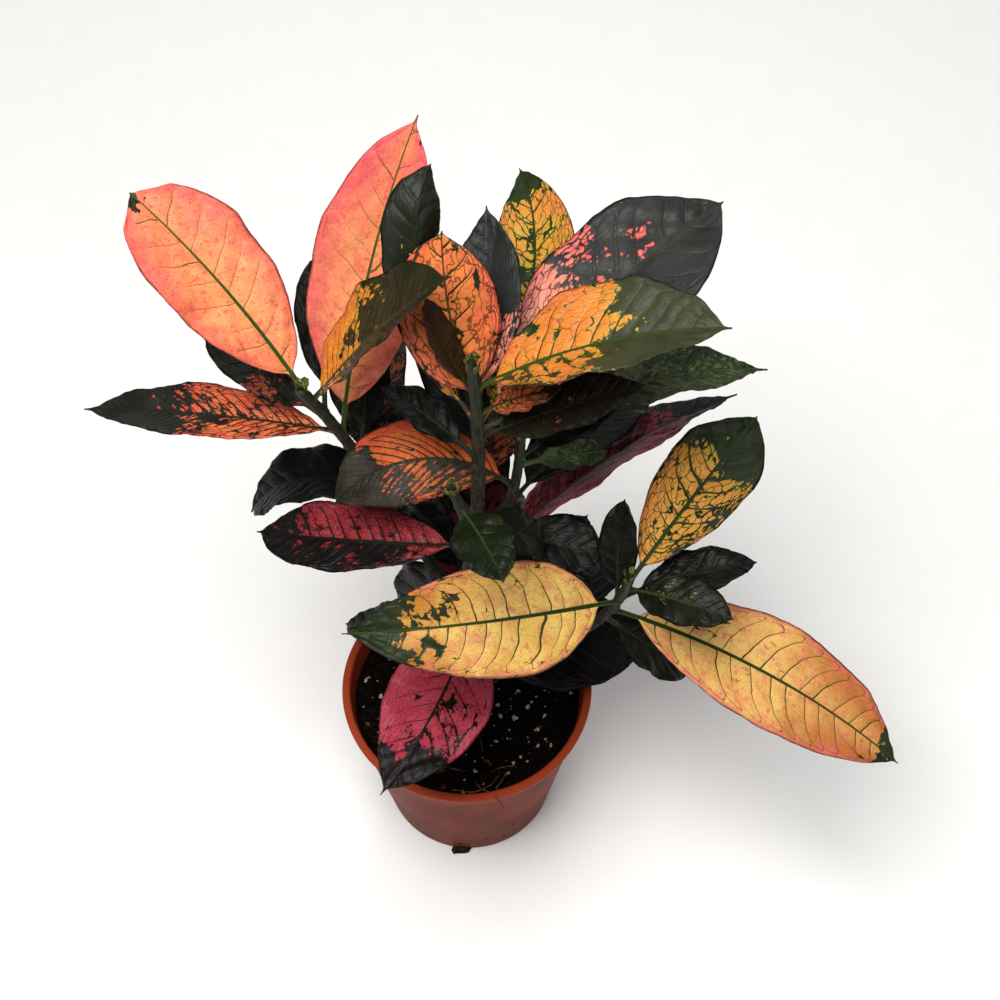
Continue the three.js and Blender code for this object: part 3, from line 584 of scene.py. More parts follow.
# Each dye, and how its side veins run: their distance apart, how far forward they slant and bend, and how
# many cells of the net lie in a gap
dyes = {
    "coral": {
        "tones": "f88c5a f99c68 f67c5a f9985c de4a52 b02c34 14170e 24261a 3c5020 2e4a12 4c5016",
        "veins": (11, 0.5, 0.3, 1.6), "Far from": 0.5, "Centre share": 0.35, "Flush share": 0.62,
        "Flush from": 0.42, "Speck share": 0.45, "Rib width": 1.8, "Vein width": 0.24, "Vein reach": 0.8,
        "Arc share": 0.0, "Net share": 0, "Crackle": 0.2, "Spread": -3, "Tip from": 0.93, "Tip spread": 7,
        "Blotch spread": 0.2,
    },
    "coralPink": {
        "tones": "f68860 f89c68 f06e60 f9a060 de4a5c ac2c3c 14170e 24261a 3c5020 344e14 5a5818",
        "veins": (11, 0.7, 0.3, 1.6), "Far from": 0.5, "Centre share": 0.35, "Flush share": 0.66,
        "Flush from": 0.35, "Speck share": 0.5, "Rib width": 1.7, "Vein width": 0.24, "Vein reach": 0.8,
        "Arc share": 0.0, "Net share": 0.0, "Crackle": 0.2, "Spread": -3, "Tip from": 0.97,
        "Blotch spread": 0.2,
    },
    "oliveFlame": {
        "tones": "e2842a e4902a b8982c e89030 d0602c 8a3020 1a1f0c 2c2a18 7c8c14 33461a 2e2c0e",
        "veins": (5, 1.1, 0.2, 1.2), "Far from": 0.42, "Centre share": 0.2, "Flush share": 0.6,
        "Speck share": 0.2, "Rib width": 1.3, "Vein width": 0.35, "Net share": 0.5, "Spread": -0.9,
        "Tip from": 0.2, "Tip spread": 7, "Right spread": 1.6, "Blotch size": 13, "Blotch spread": 1.8,
        "Grain spread": 1, "Grain size": 2.4,
    },
    "orangeGreen": {
        "tones": "d88230 d4762c c09a28 dc9038 d8683c 9a3c20 262c16 393d27 8c9c18 2c4814 333a10",
        "veins": (8, 0.6, 0.4, 1.3), "Far from": 0.4, "Centre share": 0.4, "Flush share": 0.6,
        "Speck share": 0.25, "Rib width": 1.8, "Vein width": 0.6, "Net width": 0.3, "Net share": 0.8,
        "Spread": -0.9, "Tip from": 0.36, "Tip spread": 8, "Right spread": 1.3, "Edge from": 0.8,
        "Edge spread": 0.8, "Blotch size": 9, "Blotch spread": 2.2, "Grain spread": 1, "Grain size": 2.4,
        "Crackle": 0.15,
    },
    "orangeNet": {
        "tones": "e06c34 e4803e ea7e44 e68c46 dc5450 962c22 1c2010 2c3018 8a5a1c 3a4418 302c0e",
        "veins": (11, 0.75, 0.8, 1.2), "Centre share": 0.5, "Flush share": 0.6, "Flush from": 0.5,
        "Speck share": 0.25, "Rib width": 1.2, "Vein width": 1, "Arc share": 0.9, "Net width": 0.85,
        "Spread": -0.6, "Tip spread": 3, "Edge spread": 0.4, "Blotch spread": 0.2, "Grain spread": 0.1,
        "Crackle": 0.08, "Net share": 0.9,
    },
    "slate": {
        "tones": "e27c66 e88e74 e07060 f0a070 e07078 983838 202321 2c2f2d 38382c 33362e 1d201c",
        "veins": (7, 0.6, 0.4, 1.6), "Rib width": 1.0, "Net width": 0.35, "Spread": -0.3, "Tip from": 0.2,
        "Tip spread": 8, "Blotch spread": 0.8, "Grain spread": 1.4, "Grain size": 2.6,
    },
    "greyGreen": {
        "tones": "d8983c d88044 b8b430 f0a070 e88858 a02c30 181d10 2a2d26 4c6416 2a331e 161d10",
        "veins": (8, 0.7, 0.4, 1.6), "Far from": 0.4, "Spread": 0.4, "Tip from": 0.5, "Edge from": 0.4,
        "Edge spread": 2.5, "Blotch size": 15, "Blotch spread": 2.0, "Grain spread": 1.4, "Grain size": 2.6,
        "Base to": 0.5, "Base spread": -1.2,
    },
    "goldNet": {
        "tones": "cc8a30 b89c2c cc7c34 c8962e dc7c40 8a3c18 1c260c 243010 8c9418 22300f 2a300c",
        "veins": (9, 0.75, 0.7, 1.7), "Far from": 0.55, "Centre share": 0.3, "Flush share": 0.6,
        "Speck share": 0.25, "Rib width": 1.7, "Vein width": 0.7, "Arc share": 0.9, "Net width": 0.5,
        "Spread": -0.6, "Left spread": 0.7, "Tip from": 0.78, "Tip spread": 3.5, "Edge spread": 0.5,
        "Blotch size": 14, "Blotch spread": 0.9, "Grain spread": 0.3, "Crackle": 0.1,
    },
    "slateRose": {
        "tones": "f2a480 f0947c ec5a4c f0a070 ee8088 a84048 202220 2e302e 30342a 2c2f28 2a2a18",
        "veins": (11, 0.6, 0.6, 1.4), "Far from": 0.28, "Flush share": 0.3, "Speck share": 0.12,
        "Rib width": 1.2, "Vein width": 0.7, "Arc share": 0.6, "Net width": 0.8, "Spread": -0.6,
        "Tip from": 0.26, "Tip spread": 4.4, "Right spread": 1.0, "Blotch size": 17, "Blotch spread": 1.8,
        "Grain spread": 1.6, "Grain size": 3.2, "Fine gap": 0.5, "Base to": 0.5, "Base spread": -2.3,
        "Crackle": 0.08,
    },
    "redNet": {
        "tones": "b8562c c0682c a8442c f0a070 a03434 601818 110f08 1c180c 4c3c10 2c3a14 20180b",
        "veins": (5, 0.8, 0.5, 1.4), "Net width": 0.3, "Spread": -0.2, "Tip from": 0.7, "Tip spread": 2,
        "Blotch spread": 0.7,
    },
    "flame": {
        "tones": "e0582a e2702c cc4c28 e06a2e c03c30 701c14 221e16 3c3a30 5c3c12 333214 1e160a",
        "veins": (4.4, 1.4, 0.1, 1.0), "Centre share": 0.4, "Speck share": 0.25, "Rib width": 1.4,
        "Vein width": 0.6, "Net share": 0.4, "Spread": -0.3, "Tip from": 0.55, "Tip spread": 4,
        "Left spread": 1.1, "Blotch size": 13, "Blotch spread": 0.7, "Grain spread": 0.7, "Grain size": 2.0,
        "Crackle": 0.1,
    },
    "ember": {
        "tones": "dc5a34 e07440 c84434 f0a070 d0483c 601a14 161712 262621 3c2c12 20281a 16180f",
        "veins": (4.6, 1.35, 0.1, 0.8), "Far from": 0.4, "Speck share": 0.15, "Rib width": 1.2,
        "Vein width": 0.75, "Net width": 0.4, "Spread": -0.25, "Tip from": 0.42, "Left spread": 0.5,
        "Right spread": -0.1, "Blotch size": 15, "Blotch spread": 1.5, "Crackle": 0.1,
    },
    "emberRim": {
        "tones": "a8482c a8542c 983c2c f0a070 983838 501414 0d0e08 16170d 2c2c10 1e2814 12150c",
        "veins": (7, 0.9, 0.4, 1.6), "Net width": 0.35, "Spread": 0.9, "Tip from": 0.4, "Tip spread": 4,
        "Blotch size": 16, "Blotch spread": 1.6, "Grain spread": 1.6,
    },
    "crimsonRose": {
        "tones": "9c2838 a83448 a01838 ac3c4c b4485a 50101c 0a0706 120e0c 300c12 16190a 160908",
        "veins": (8.5, 0.85, 0.4, 1.3), "Far from": 0.42, "Centre share": 0.2, "Speck share": 0.15,
        "Rib width": 1.6, "Vein width": 0.32, "Net share": 0.3, "Spread": -1.3, "Tip from": 0.5,
        "Tip spread": 5, "Blotch size": 14, "Blotch spread": 1.1, "Grain spread": 1, "Left spread": 1.2,
        "Crackle": 0.05,
    },
    "crimsonBlack": {
        "tones": "7c121c 8e1e2a 801422 8a2028 7c2c38 4a0c10 0a0807 141110 2c0c0e 14180a 120806",
        "veins": (6.5, 0.6, 0.4, 1.2), "Far from": 0.5, "Centre share": 0.3, "Flush share": 0.4,
        "Rib width": 1.5, "Vein width": 0.65, "Net width": 0.35, "Net share": 0.7, "Spread": -0.4,
        "Tip from": 0.68, "Tip spread": 3, "Left spread": 2.0, "Base to": 0.4, "Base spread": -1.6,
        "Blotch size": 12, "Blotch spread": 1.4, "Crackle": 0.1,
    },
    "crimsonLong": {
        "tones": "8c2034 7c182e 904048 f0a070 b84c5c 480e14 141416 22242a 2c1818 20240e 1c160c",
        "veins": (9, 0.8, 0.5, 1.5), "Far from": 0.5, "Flush share": 0.6, "Speck share": 0.2,
        "Rib width": 1.4, "Vein width": 0.5, "Arc share": 0.6, "Net width": 0.3, "Spread": -0.5,
        "Tip from": 0.58, "Tip spread": 5, "Blotch spread": 0.8, "Grain spread": 1.2, "Crackle": 0.1,
    },
    "crimson": {
        "tones": "841a30 902434 7a1426 f0a070 a03848 400c14 0a0808 120e0d 2c0c10 1a1e0a 160a09",
        "veins": (8, 0.75, 0.5, 1.4), "Vein width": 0.4, "Net share": 0.5, "Spread": -0.4, "Tip from": 0.5,
        "Tip spread": 4, "Blotch size": 18, "Blotch spread": 1.1, "Grain spread": 1.4,
    },
    "crimsonNight": {
        "tones": "5c1420 661a24 50101c f0a070 7c2834 30080c 0a0908 12110c 220c0e 161a0a 100c08",
        "veins": (7, 0.8, 0.5, 1.4), "Net share": 0.6, "Spread": 0.7, "Tip from": 0.3, "Tip spread": 4,
        "Blotch size": 18, "Blotch spread": 1.7, "Grain spread": 1.6,
    },
    "yellow": {
        "tones": "eec468 e8b458 b87820 f4d478 d87060 96302c 1a250c 28311c a86c14 22380e 343e10",
        "veins": (8.5, 0.24, 1.1, 1.7), "Far from": 0.42, "Centre share": 0.3, "Flush share": 0.7,
        "Flush from": 0.78, "Speck share": 0.8, "Rib width": 2, "Vein width": 0.42, "Vein reach": 1.2,
        "Arc share": 0.8, "Net width": 0.06, "Net share": 0.2, "Crackle": 0.14, "Spread": -1.5,
        "Tip from": 0.46, "Tip spread": 5, "Blotch size": 9, "Blotch spread": 2.2, "Grain spread": 0.6,
    },
    "yellowPink": {
        "tones": "e8b864 e2aa5c b86c2c ecc270 d86460 962e38 182410 28341f 9c6014 20360f 363e12",
        "veins": (9.5, 0.32, 1.1, 1.6), "Far from": 0.42, "Centre share": 0.4, "Flush share": 0.7,
        "Flush from": 0.74, "Speck share": 1, "Rib width": 2, "Vein width": 0.45, "Vein reach": 1.2,
        "Arc share": 0.9, "Net width": 0.08, "Net share": 0.25, "Crackle": 0.14, "Spread": -1.4,
        "Tip from": 0.84, "Tip spread": 7, "Edge from": 0.95, "Edge spread": 0.8, "Blotch size": 14,
        "Blotch spread": 0.9, "Grain spread": 0.6,
    },
    "goldGreen": {
        "tones": "dc9c3c d48c34 a89028 e2a846 d8703c 8a3820 182210 28321c 96961c 203610 28300e",
        "veins": (8.5, 0.5, 0.8, 1.5), "Far from": 0.45, "Centre share": 0.4, "Flush share": 0.75,
        "Flush from": 0.5, "Speck share": 0.3, "Rib width": 1.9, "Vein width": 0.75, "Arc share": 0.9,
        "Net width": 0.5, "Spread": -0.5, "Tip from": 0.52, "Tip spread": 5, "Right spread": 0.6,
        "Edge from": 0.85, "Edge spread": 0.5, "Blotch size": 15, "Blotch spread": 1.1, "Grain spread": 0.6,
        "Grain size": 3, "Crackle": 0.1,
    },
    "greenStreak": {
        "tones": "5e6418 6a5c1c 566014 f0a070 784424 402814 0a0f03 131908 34420f 2c3a14 12180a",
        "veins": (6, 0.7, 0.4, 1.4), "Spread": 1.4, "Tip from": 0.6, "Tip spread": 4, "Edge from": 0.4,
        "Edge spread": 1.0, "Blotch size": 10, "Blotch spread": 1.7, "Grain spread": 1.2,
    },
    "deepGreen": {
        "tones": "5c6a38 66743e 546440 f0a070 42502e 283418 1e2a14 323f28 2c4018 485a38 4c5a38",
        "veins": (6, 0.8, 0.3, 1.4), "Speck share": 0.0, "Vein width": 0.4, "Spread": 0.6,
        "Blotch size": 10, "Blotch spread": 1.4, "Grain spread": 1.8, "Relief": 1.6,
    },
    "bottleGreen": {
        "tones": "222e10 222e10 2c3c18 f0a070 2c3c18 a02c30 0c1405 141c09 1c280f 34422a 202c16",
        "veins": (6, 0.7, 0.5, 1.4), "Speck share": 0.0, "Rib width": 0.8, "Spread": 5, "Relief": 1.6,
    },
    "maroon": {
        "tones": "50280f 50280f 482810 f0a070 50200f a02c30 301808 2a220a 2c240c 2c280c 221808",
        "veins": (6, 0.8, 0.4, 1.4), "Speck share": 0.0, "Spread": 4,
    },
    "brown": {
        "tones": "b0682c a8602c 985024 f0a070 884024 a02c30 14120a 1e190c 2c2a0e 283018 18190e",
        "veins": (5.5, 0.75, 0.4, 1.4), "Speck share": 0.0, "Spread": 2.0, "Tip from": 0.4, "Tip spread": 3,
        "Blotch size": 9, "Blotch spread": 1.2, "Grain spread": 1.4, "Relief": 1.6,
    },
    # near-black tones: the leaves' own dark colour, deepened as painted shade for leaves that lie under the
    # upper ones
    "nightPaintedShade": {
        "tones": "3c1c10 442814 502018 f0a070 502020 a02c30 080906 10120b 161a0a 202a16 090b06",
        "veins": (7, 0.75, 0.5, 1.4), "Speck share": 0.0, "Spread": 3.2, "Blotch spread": 0.8,
        "Relief": 1.4,
    },
    # near-black tones: the lowest leaves' own dark colour, deepened as painted shade for the shade under
    # the canopy
    "blackPaintedShade": {
        "tones": "3c141c 3c141c 3c141c f0a070 3c141c a02c30 060504 0b0a09 16100e 171b0f 060605",
        "veins": (7.5, 0.8, 0.5, 1.4), "Speck share": 0.0, "Spread": 4.5, "Blotch spread": 0.5,
        "Relief": 1.4,
    },
    "sprout": {
        "tones": "8c9448 9ca058 94783c f0a070 805c30 a02c30 1e2a10 2c3818 4c5c20 5c7030 3c4c1c",
        "veins": (3, 0.8, 0.4, 1.4),
        "Far from": 0.6, "Speck share": 0.0, "Rib width": 0.6, "Spread": 0.1, "Blotch size": 5,
    },
}

leafSkin = {
    "gloss": {"IOR": 1.45, "Specular IOR Level": 0.2},
    "bumpHeight": 0.00022,  # metres
    "bumpStrength": 0.7,
}


# The dye group with that dye's values gives colour, roughness and relief.
def makeLeafMaterial(name, dye, group):
    material, tree, shader = startMaterial(name + "Leaf", leafSkin["gloss"])
    made = placeGroup(tree, group, spelledOut(dye))
    plug(tree, made["Color"], shader.inputs["Base Color"])
    plug(tree, made["Roughness"], shader.inputs["Roughness"])
    setRelief(tree, shader, made["Height"], leafSkin["bumpHeight"], leafSkin["bumpStrength"])
    return material


dyeGroup = makeDyeGroup()
leafMaterials = {name: makeLeafMaterial(name, dye, dyeGroup) for name, dye in dyes.items()}
print("leaf dyes are mixed:", len(leafMaterials))

# Leaves

leafShape = {
    "half": 0.25,  # half the blade's thickness
    "thinEdge": 0.45,  # the share of it that the edge loses
    "ribRidge": 1.15,  # how far the midrib stands out below
    "ribChannel": 0.55,  # how deep the upper side sinks along it
    "ribCord": 0.4,  # how far its middle rises again
    "quilt": 0.34,  # how far the skin swells between side veins
    "groove": 0.2,  # how deep they lie
    "frill": 0.5,  # how far the edge wanders up and down
    "warp": 0.5,  # and the whole blade
    "uneven": 0.022,  # the share by which its width wanders
    "sway": 0.2,  # how far a side vein strays, in gaps
    "waveCount": 3.3,
    "waveShift": 0.37,
    "pointLength": 0.08,
    "dripHalf": 2.4,
    "curlFrom": 0.7,
    "stalkHalf": 1.2,
    "stalkRadius": 1.05,
    "stalkFlare": 0.7,
    "sunk": 0.8,  # how deep the stalk starts in the bark
    "rowStep": 1.25,
    "columnStep": 1.35,
}


# The cubic curve through a shoot's four control points, at u from 0 to 1.
def shootPoint(name, u):
    path = np.array(shoots[name]["path"], float)
    u = np.atleast_1d(u)[:, None]
    v = 1 - u
    return v**3 * path[0] + 3 * v * v * u * path[1] + 3 * v * u * u * path[2] + u**3 * path[3]


# The shoot's radius, which goes evenly from low to high.
def shootRadius(name, u):
    return shoots[name]["low"] + (shoots[name]["high"] - shoots[name]["low"]) * u


# A superellipse from the base to the widest place and another to the tip, where the blade draws in to a
# short point and goes on as a thin drip tip. The two widths add as squares do.
def halfWidth(t, width, form):
    t = np.clip(t, 0, 1)
    body = np.minimum(t / (1 - form["drip"]), 1)
    belly = form["belly"]
    below = body < belly
    x = np.where(below, (belly - body) / belly, (body - belly) / (1 - belly))
    roundness = np.where(below, 0.82, 1 - 0.45 * form["blunt"])
    point = np.minimum((1 - body) / leafShape["pointLength"], 1) ** 0.8
    blade = width / 2 * np.clip(1 - x**2.1, 0, 1) ** roundness * (1 - 0.75 * form["blunt"] * (1 - point))
    narrowing = np.minimum((1 - t) / (2.2 * form["drip"]), 1) ** 1.3
    tip = leafShape["dripHalf"] * narrowing * easeInOut((t - 0.5) / 0.3)
    return np.hypot(blade, tip)


# Heading and pitch change evenly with s, and a curled end turns down as well. Gives the way ahead, and the
# level way to the left.
def midribFrame(s, rise, fall, sweep, curl):
    curled = easeInOut((s - leafShape["curlFrom"]) / (1 - leafShape["curlFrom"]))
    heading = np.radians(sweep) * s
    pitch = np.radians(rise - fall * s - curl * curled)
    ahead = np.stack([np.cos(heading) * np.cos(pitch), np.sin(heading) * np.cos(pitch), np.sin(pitch)], -1)
    level = np.stack([-np.sin(heading), np.cos(heading), 0 * heading], -1)
    return ahead, level


# The matrix that turns points, one in each row, about Z by an angle in radians.
def turnMatrix(angle):
    c, s = math.cos(angle), math.sin(angle)
    return np.array([[c, s, 0], [-s, c, 0], [0, 0, 1]])


# The side veins: each point goes back along its vein to a footing on the midrib, and the footing over the
# spacing is the vein's number there. Also gives the distance to the nearest vein, and the net's cells.
def veinMap(x, c, half, along, left, length, seed, veins):
    spacing, slope, bend, perGap = veins
    out = np.abs(x)
    forward = out * slope * (0.75 + 0.5 * along) + bend * half * 0.5 * np.abs(c) ** 4
    footing = along * length - forward
    wander = (1 - left) * drift(footing / 46, seed + 7) + left * drift(footing / 46, seed + 19)
    sway = leafShape["sway"] * wander + 0.05 * drift(out / 34 + footing / 80, seed + 31)
    footing = footing + spacing * sway
    count = footing / spacing + 0.5 * left + 0.21 * seed
    apart = np.abs((count + 0.5) % 1 - 0.5) * spacing * 0.9
    crowded = 1 + 1.3 * c * c
    cellAcross = x / spacing * perGap * crowded
    cellSize = spacing / perGap / np.sqrt(crowded)
    return count, apart, cellAcross, cellSize


# The blade's upper and lower side above its flat: folded up from the midrib, rippled and frilled at the
# edge, swollen between the side veins and sunk along them, with a channel and a ridge along the midrib.
def bladeSides(x, c, half, t, apart, spacing, form, phase, seed):
    along = np.clip(t, 0, 1)
    out = np.abs(x)
    within = easeInOut(out / 3) * (1 - easeInOut((np.abs(c) - 0.82) / 0.18)) * easeInOut(t / 0.05)
    quilt = leafShape["quilt"] * (1 - bump(apart, spacing * 0.26)) * within
    groove = leafShape["groove"] * bump(apart, 0.75) * within
    hollow = leafShape["ribChannel"] * bump(out, 1.9) - leafShape["ribCord"] * bump(out, 0.65)
    hollow = hollow * ((1 - 0.6 * along) * easeInOut((t + 0.02) / 0.06))
    ridge = leafShape["ribRidge"] * bump(out, 1.1) * (1 - 0.7 * along)

    shift = phase + np.where(c > 0, leafShape["waveShift"], 0)
    ripple = np.sin(np.pi * along) * np.sin(2 * np.pi * (leafShape["waveCount"] * t + shift))
    frill = np.where(c > 0, drift(along * 5, seed + 43), drift(along * 5, seed + 57))
    frill = leafShape["frill"] * np.abs(c) ** 3 * frill * easeInOut(t / 0.1) * easeInOut((1 - t) / 0.06)
    bend = np.sqrt(c * c + 0.0036) - 0.06
    lift = half * bend * math.sin(math.radians(form["fold"])) + form["wave"] * c * c * ripple + frill
    lift = lift + leafShape["warp"] * drift(along * 2.2 + c * 0.6, seed + 71) * within

    thickness = leafShape["half"] * (1 - leafShape["thinEdge"] * easeInOut((np.abs(c) - 0.7) / 0.3))
    upper = lift + thickness + quilt - groove - hollow
    lower = lift - thickness + quilt - 0.6 * groove - ridge - 0.3 * bump(apart, 0.6) * within
    return np.where(np.abs(c) > 0.999, (upper + lower) / 2, upper), lower


# Rings round the blade, upper side first, at rows along it. Each ring goes over from a round stalk to the
# blade's section, and stands across the midrib, which is the sum of small steps along its frame.
def leafMesh(name, shoot, row, phase, seed, veins):
    place, stalk, turn, rise, fall, sweep, roll, length, width, formName = row[:10]  # as in leaves
    form = forms[formName]
    start = float(shootRadius(shoot, place)) - leafShape["sunk"]
    stalkRows = np.linspace(start, stalk, int((stalk - start) / 0.8) + 2)[:-1]
    u = np.linspace(0, 1, int(length / leafShape["rowStep"]) + 1)
    bladeRows = stalk + length * (0.45 * u + 0.55 * (1 - np.cos(np.pi * u)) / 2)
    distance = np.concatenate([stalkRows, bladeRows])[:, None]
    s = distance[:, 0] / (stalk + length)
    t = (distance - stalk) / length
    along = np.clip(t, 0, 1)

    fine = np.linspace(0, 1, 401)
    steps, _ = midribFrame((fine[1:] + fine[:-1]) / 2, rise, fall, sweep, form["curl"])
    way = np.vstack([np.zeros(3), np.cumsum(steps, 0)]) * (stalk + length) / 400
    at = np.stack([np.interp(s, fine, way[:, k]) for k in range(3)], -1)[:, None, :]
    ahead, level = midribFrame(s, rise, fall, sweep, form["curl"])
    upright = np.cross(ahead, level)
    rolled = math.radians(roll)
    side = (level * math.cos(rolled) + upright * math.sin(rolled))[:, None, :]
    normal = (upright * math.cos(rolled) - level * math.sin(rolled))[:, None, :]

    # across the blade: c goes from one edge to the other, closer together near the midrib
    columns = 2 * max(8, round(width / leafShape["columnStep"] / 2))
    v = np.linspace(-1, 1, columns + 1)
    c = (v * (0.5 + 0.5 * np.abs(v)))[None, :]
    left = easeInOut((c * width / 2 + 0.8) / 1.6)
    uneven = (1 - left) * drift(along * 1.6, seed) + left * drift(along * 1.6, seed + 500)
    half = halfWidth(t, width, form) * (1 + leafShape["uneven"] * uneven)
    half = np.maximum(half, leafShape["stalkHalf"] * (1 - 0.8 * along))
    x = half * c
    count, apart, cellAcross, cellSize = veinMap(x, c, half, along, left, length, seed, veins)
    upper, lower = bladeSides(x, c, half, t, apart, veins[0], form, phase, seed)

    # from the round stalk to the blade
    swell = leafShape["stalkRadius"] * (1 + leafShape["stalkFlare"] * np.exp(-(distance - start) / 1.6))
    angle = np.pi * (1 - np.arange(columns + 1) / columns)[None, :]
    broad = easeInOut((distance - stalk + 3) / 9)
    flatX = broad * x * math.cos(math.radians(form["fold"])) + (1 - broad) * swell * np.cos(angle)
    upper = broad * upper + (1 - broad) * swell * np.sin(angle)
    lower = broad * lower - (1 - broad) * swell * np.sin(angle)
    back = slice(columns - 1, 0, -1)
    ringX = np.concatenate([flatX, flatX[:, back]], 1)
    ringZ = np.concatenate([upper, lower[:, back]], 1)
    points = at + side * ringX[..., None] + normal * ringZ[..., None]
    rows, ring = ringX.shape

    # what the dye reads at each point of the rings, and at a middle point for each end
    def around(value):
        full = np.broadcast_to(value, x.shape)
        return np.concatenate([full, full[:, back]], 1)

    def closed(values):
        middles = np.stack([values[i].mean(0) for i in (0, rows - 1)])
        return np.concatenate([values.reshape(-1, 3), middles])

    under = np.broadcast_to(np.arange(ring) > columns, ringX.shape).astype(float)
    data = {
        "blade": [around(t * length), around(x), around(t)],
        "share": [around(c), under, around(seed / 7.0)],
        "veins": [around(count), around(float(veins[0])), around(half)],
        "cells": [around(count * veins[3] + 17.3 * seed), around(cellAcross), around(cellSize)],
    }
    data = {title: closed(np.stack(values, -1)) for title, values in data.items()}
    points = closed(points) @ turnMatrix(math.radians(turn)) + shootPoint(shoot, place)
    return makeMesh(name, points, skinFaces(rows, ring), data)


# The word with its first letter large.
def capitalised(word):
    return word[0].upper() + word[1:]


phase = 0.0
seed = 0
triangles = 0
for shoot, rows in leaves.items():
    for number, row in enumerate(rows, 1):
        seed += 1
        slotName, dye = row[10:]
        name = f"leaf{capitalised(shoot)}{number}"
        mesh = leafMesh(name, shoot, row, phase, seed, dyes[dye]["veins"])
        addPiece(name, mesh, leafMaterials[dye], f"leaf_{shoot}_{number}")
        triangles += sum(len(p.vertices) - 2 for p in mesh.polygons)
        phase = (phase + leafShape["waveShift"]) % 1
print("leaves are grown:", seed, "with", triangles, "triangles")

# The stem

bark = {
    "ring": 28,
    "rowStep": 1.1,
    "rootBottom": 46,  # how low the trunk goes in the soil
    "ridges": 0.12,
    "scarStep": 6.5,
    "scarHeight": 0.55,
    "scarTurn": 137.5,
    "budAhead": [1.5, 4, 6.5, 8.5],
    "budRadii": [2.2, 2.0, 1.3, 0.4],
    "budRows": 12,
    "gloss": {"IOR": 1.45, "Specular IOR Level": 0.3},
}


# Old bark in two brown greys with paler patches, young bark in greens near the shoot's end. Its streaks
# are noise drawn out along Z.
def makeBarkMaterial():
    material, tree, shader = startMaterial("crotonBark", bark["gloss"])
    age = addNode(tree, "ShaderNodeAttribute", attribute_name="youth").outputs["Fac"]
    streaks = noiseAt(tree, objectPlace(tree, (1.0, 1.0, 0.22)), 900.0, 4.0)
    patches = noiseAt(tree, objectPlace(tree), 160.0, 3.0)
    old = blendColours(tree, between(tree, streaks, 0.35, 0.65), tone("120d08"), tone("3a3024"))
    old = blendColours(tree, between(tree, patches, 0.5, 0.7), old, tone("332a1e"))
    young = blendColours(tree, between(tree, streaks, 0.35, 0.7), tone("141a0c"), tone("2c3418"))
    stray = calc(tree, "MULTIPLY_ADD", calc(tree, "SUBTRACT", patches, 0.5), 0.3, age)
    share = between(tree, stray, 0.72, 0.96)
    plug(tree, blendColours(tree, share, old, young), shader.inputs["Base Color"])
    plug(tree, calc(tree, "MULTIPLY_ADD", share, -0.25, 0.8), shader.inputs["Roughness"])
    setRelief(tree, shader, streaks, 0.0003, 0.8)
    return material


# Each row less the one before, averaged with the next, as directions of length one.
def directions(path):
    tangent = np.gradient(path, axis=0)
    return tangent / np.linalg.norm(tangent, axis=1)[:, None]


# Two ways at right angles to each tangent, the first of them also to the given way.
def crossways(given, tangent):
    sideways = np.cross(given, tangent)
    sideways /= np.linalg.norm(sideways, axis=1)[:, None]
    return sideways, np.cross(tangent, sideways)


# Rings along the shoot's curve and out over its bud. The radius has fine ridges along the bark and a
# scar, a low half moon with a swelling, where each leaf has fallen, turned on by a golden angle.
def shootMesh(name, seed):
    fine = shootPoint(name, np.linspace(0, 1, 300))
    length = np.linalg.norm(np.diff(fine, axis=0), axis=1).sum()
    u = np.linspace(0, 1, int(length / bark["rowStep"]))
    centre = shootPoint(name, u)
    radius = shootRadius(name, u)
    tangent = directions(centre)
    budRows = bark["budRows"]
    if name == "crown":
        low = np.linspace(bark["rootBottom"], centre[0, 2] - bark["rowStep"], 12)
        centre = np.vstack([np.stack([0 * low, 0 * low, low], -1), centre])
        tangent = np.vstack([np.tile([0.0, 0.0, 1.0], (12, 1)), tangent])
        radius = np.concatenate([np.full(12, radius[0]), radius])
        u = np.concatenate([np.zeros(12), u])
    ahead = np.linspace(0.4, bark["budAhead"][-1], budRows)
    budRadius = np.interp(ahead, [0, *bark["budAhead"]], [radius[-1], *bark["budRadii"]])
    centre = np.vstack([centre, centre[-1] + tangent[-1] * ahead[:, None]])
    tangent = np.vstack([tangent, np.tile(tangent[-1], (budRows, 1))])
    radius = np.concatenate([radius, budRadius])
    u = np.concatenate([u, np.ones(budRows)])
    sideways, other = crossways([0.0, 1.0, 0.0], tangent)
    travelled = np.concatenate([[0], np.cumsum(np.linalg.norm(np.diff(centre, axis=0), axis=1))])[:, None]
    angle = (2 * np.pi * np.arange(bark["ring"]) / bark["ring"])[None, :]
    rough = np.sin(9 * angle + 0.05 * travelled) + 0.6 * np.sin(5 * angle - 0.03 * travelled + seed)
    rough = bark["ridges"] * rough
    for k, scar in enumerate(np.arange(4, length - 3, bark["scarStep"])):
        facing = math.radians(bark["scarTurn"]) * k + seed
        gap = (angle - facing + np.pi) % (2 * np.pi) - np.pi
        moon = bump(travelled - scar + 0.5 * gap**2, 1.2) * bump(gap, 0.75)
        rough = rough + bark["scarHeight"] * moon + 0.12 * bump(travelled - scar, 0.9)
    full = (radius[:, None] + rough * np.minimum(1, radius[:, None] / 2))[..., None]
    points = centre[:, None] + sideways[:, None] * full * np.cos(angle)[..., None]
    points = points + other[:, None] * full * np.sin(angle)[..., None]
    everything = np.concatenate([points.reshape(-1, 3), points[[0, -1]].mean(1)])
    youth = np.append(np.repeat(u, bark["ring"]), [u[0], u[-1]])
    return makeMesh(name + "Shoot", everything, skinFaces(len(centre), bark["ring"]), {"youth": youth})


# A mesh in the scene that isn't a piece of its own.
def looseObject(name, mesh):
    made = bpy.data.objects.new(name, mesh)
    bpy.context.scene.collection.objects.link(made)
    return made


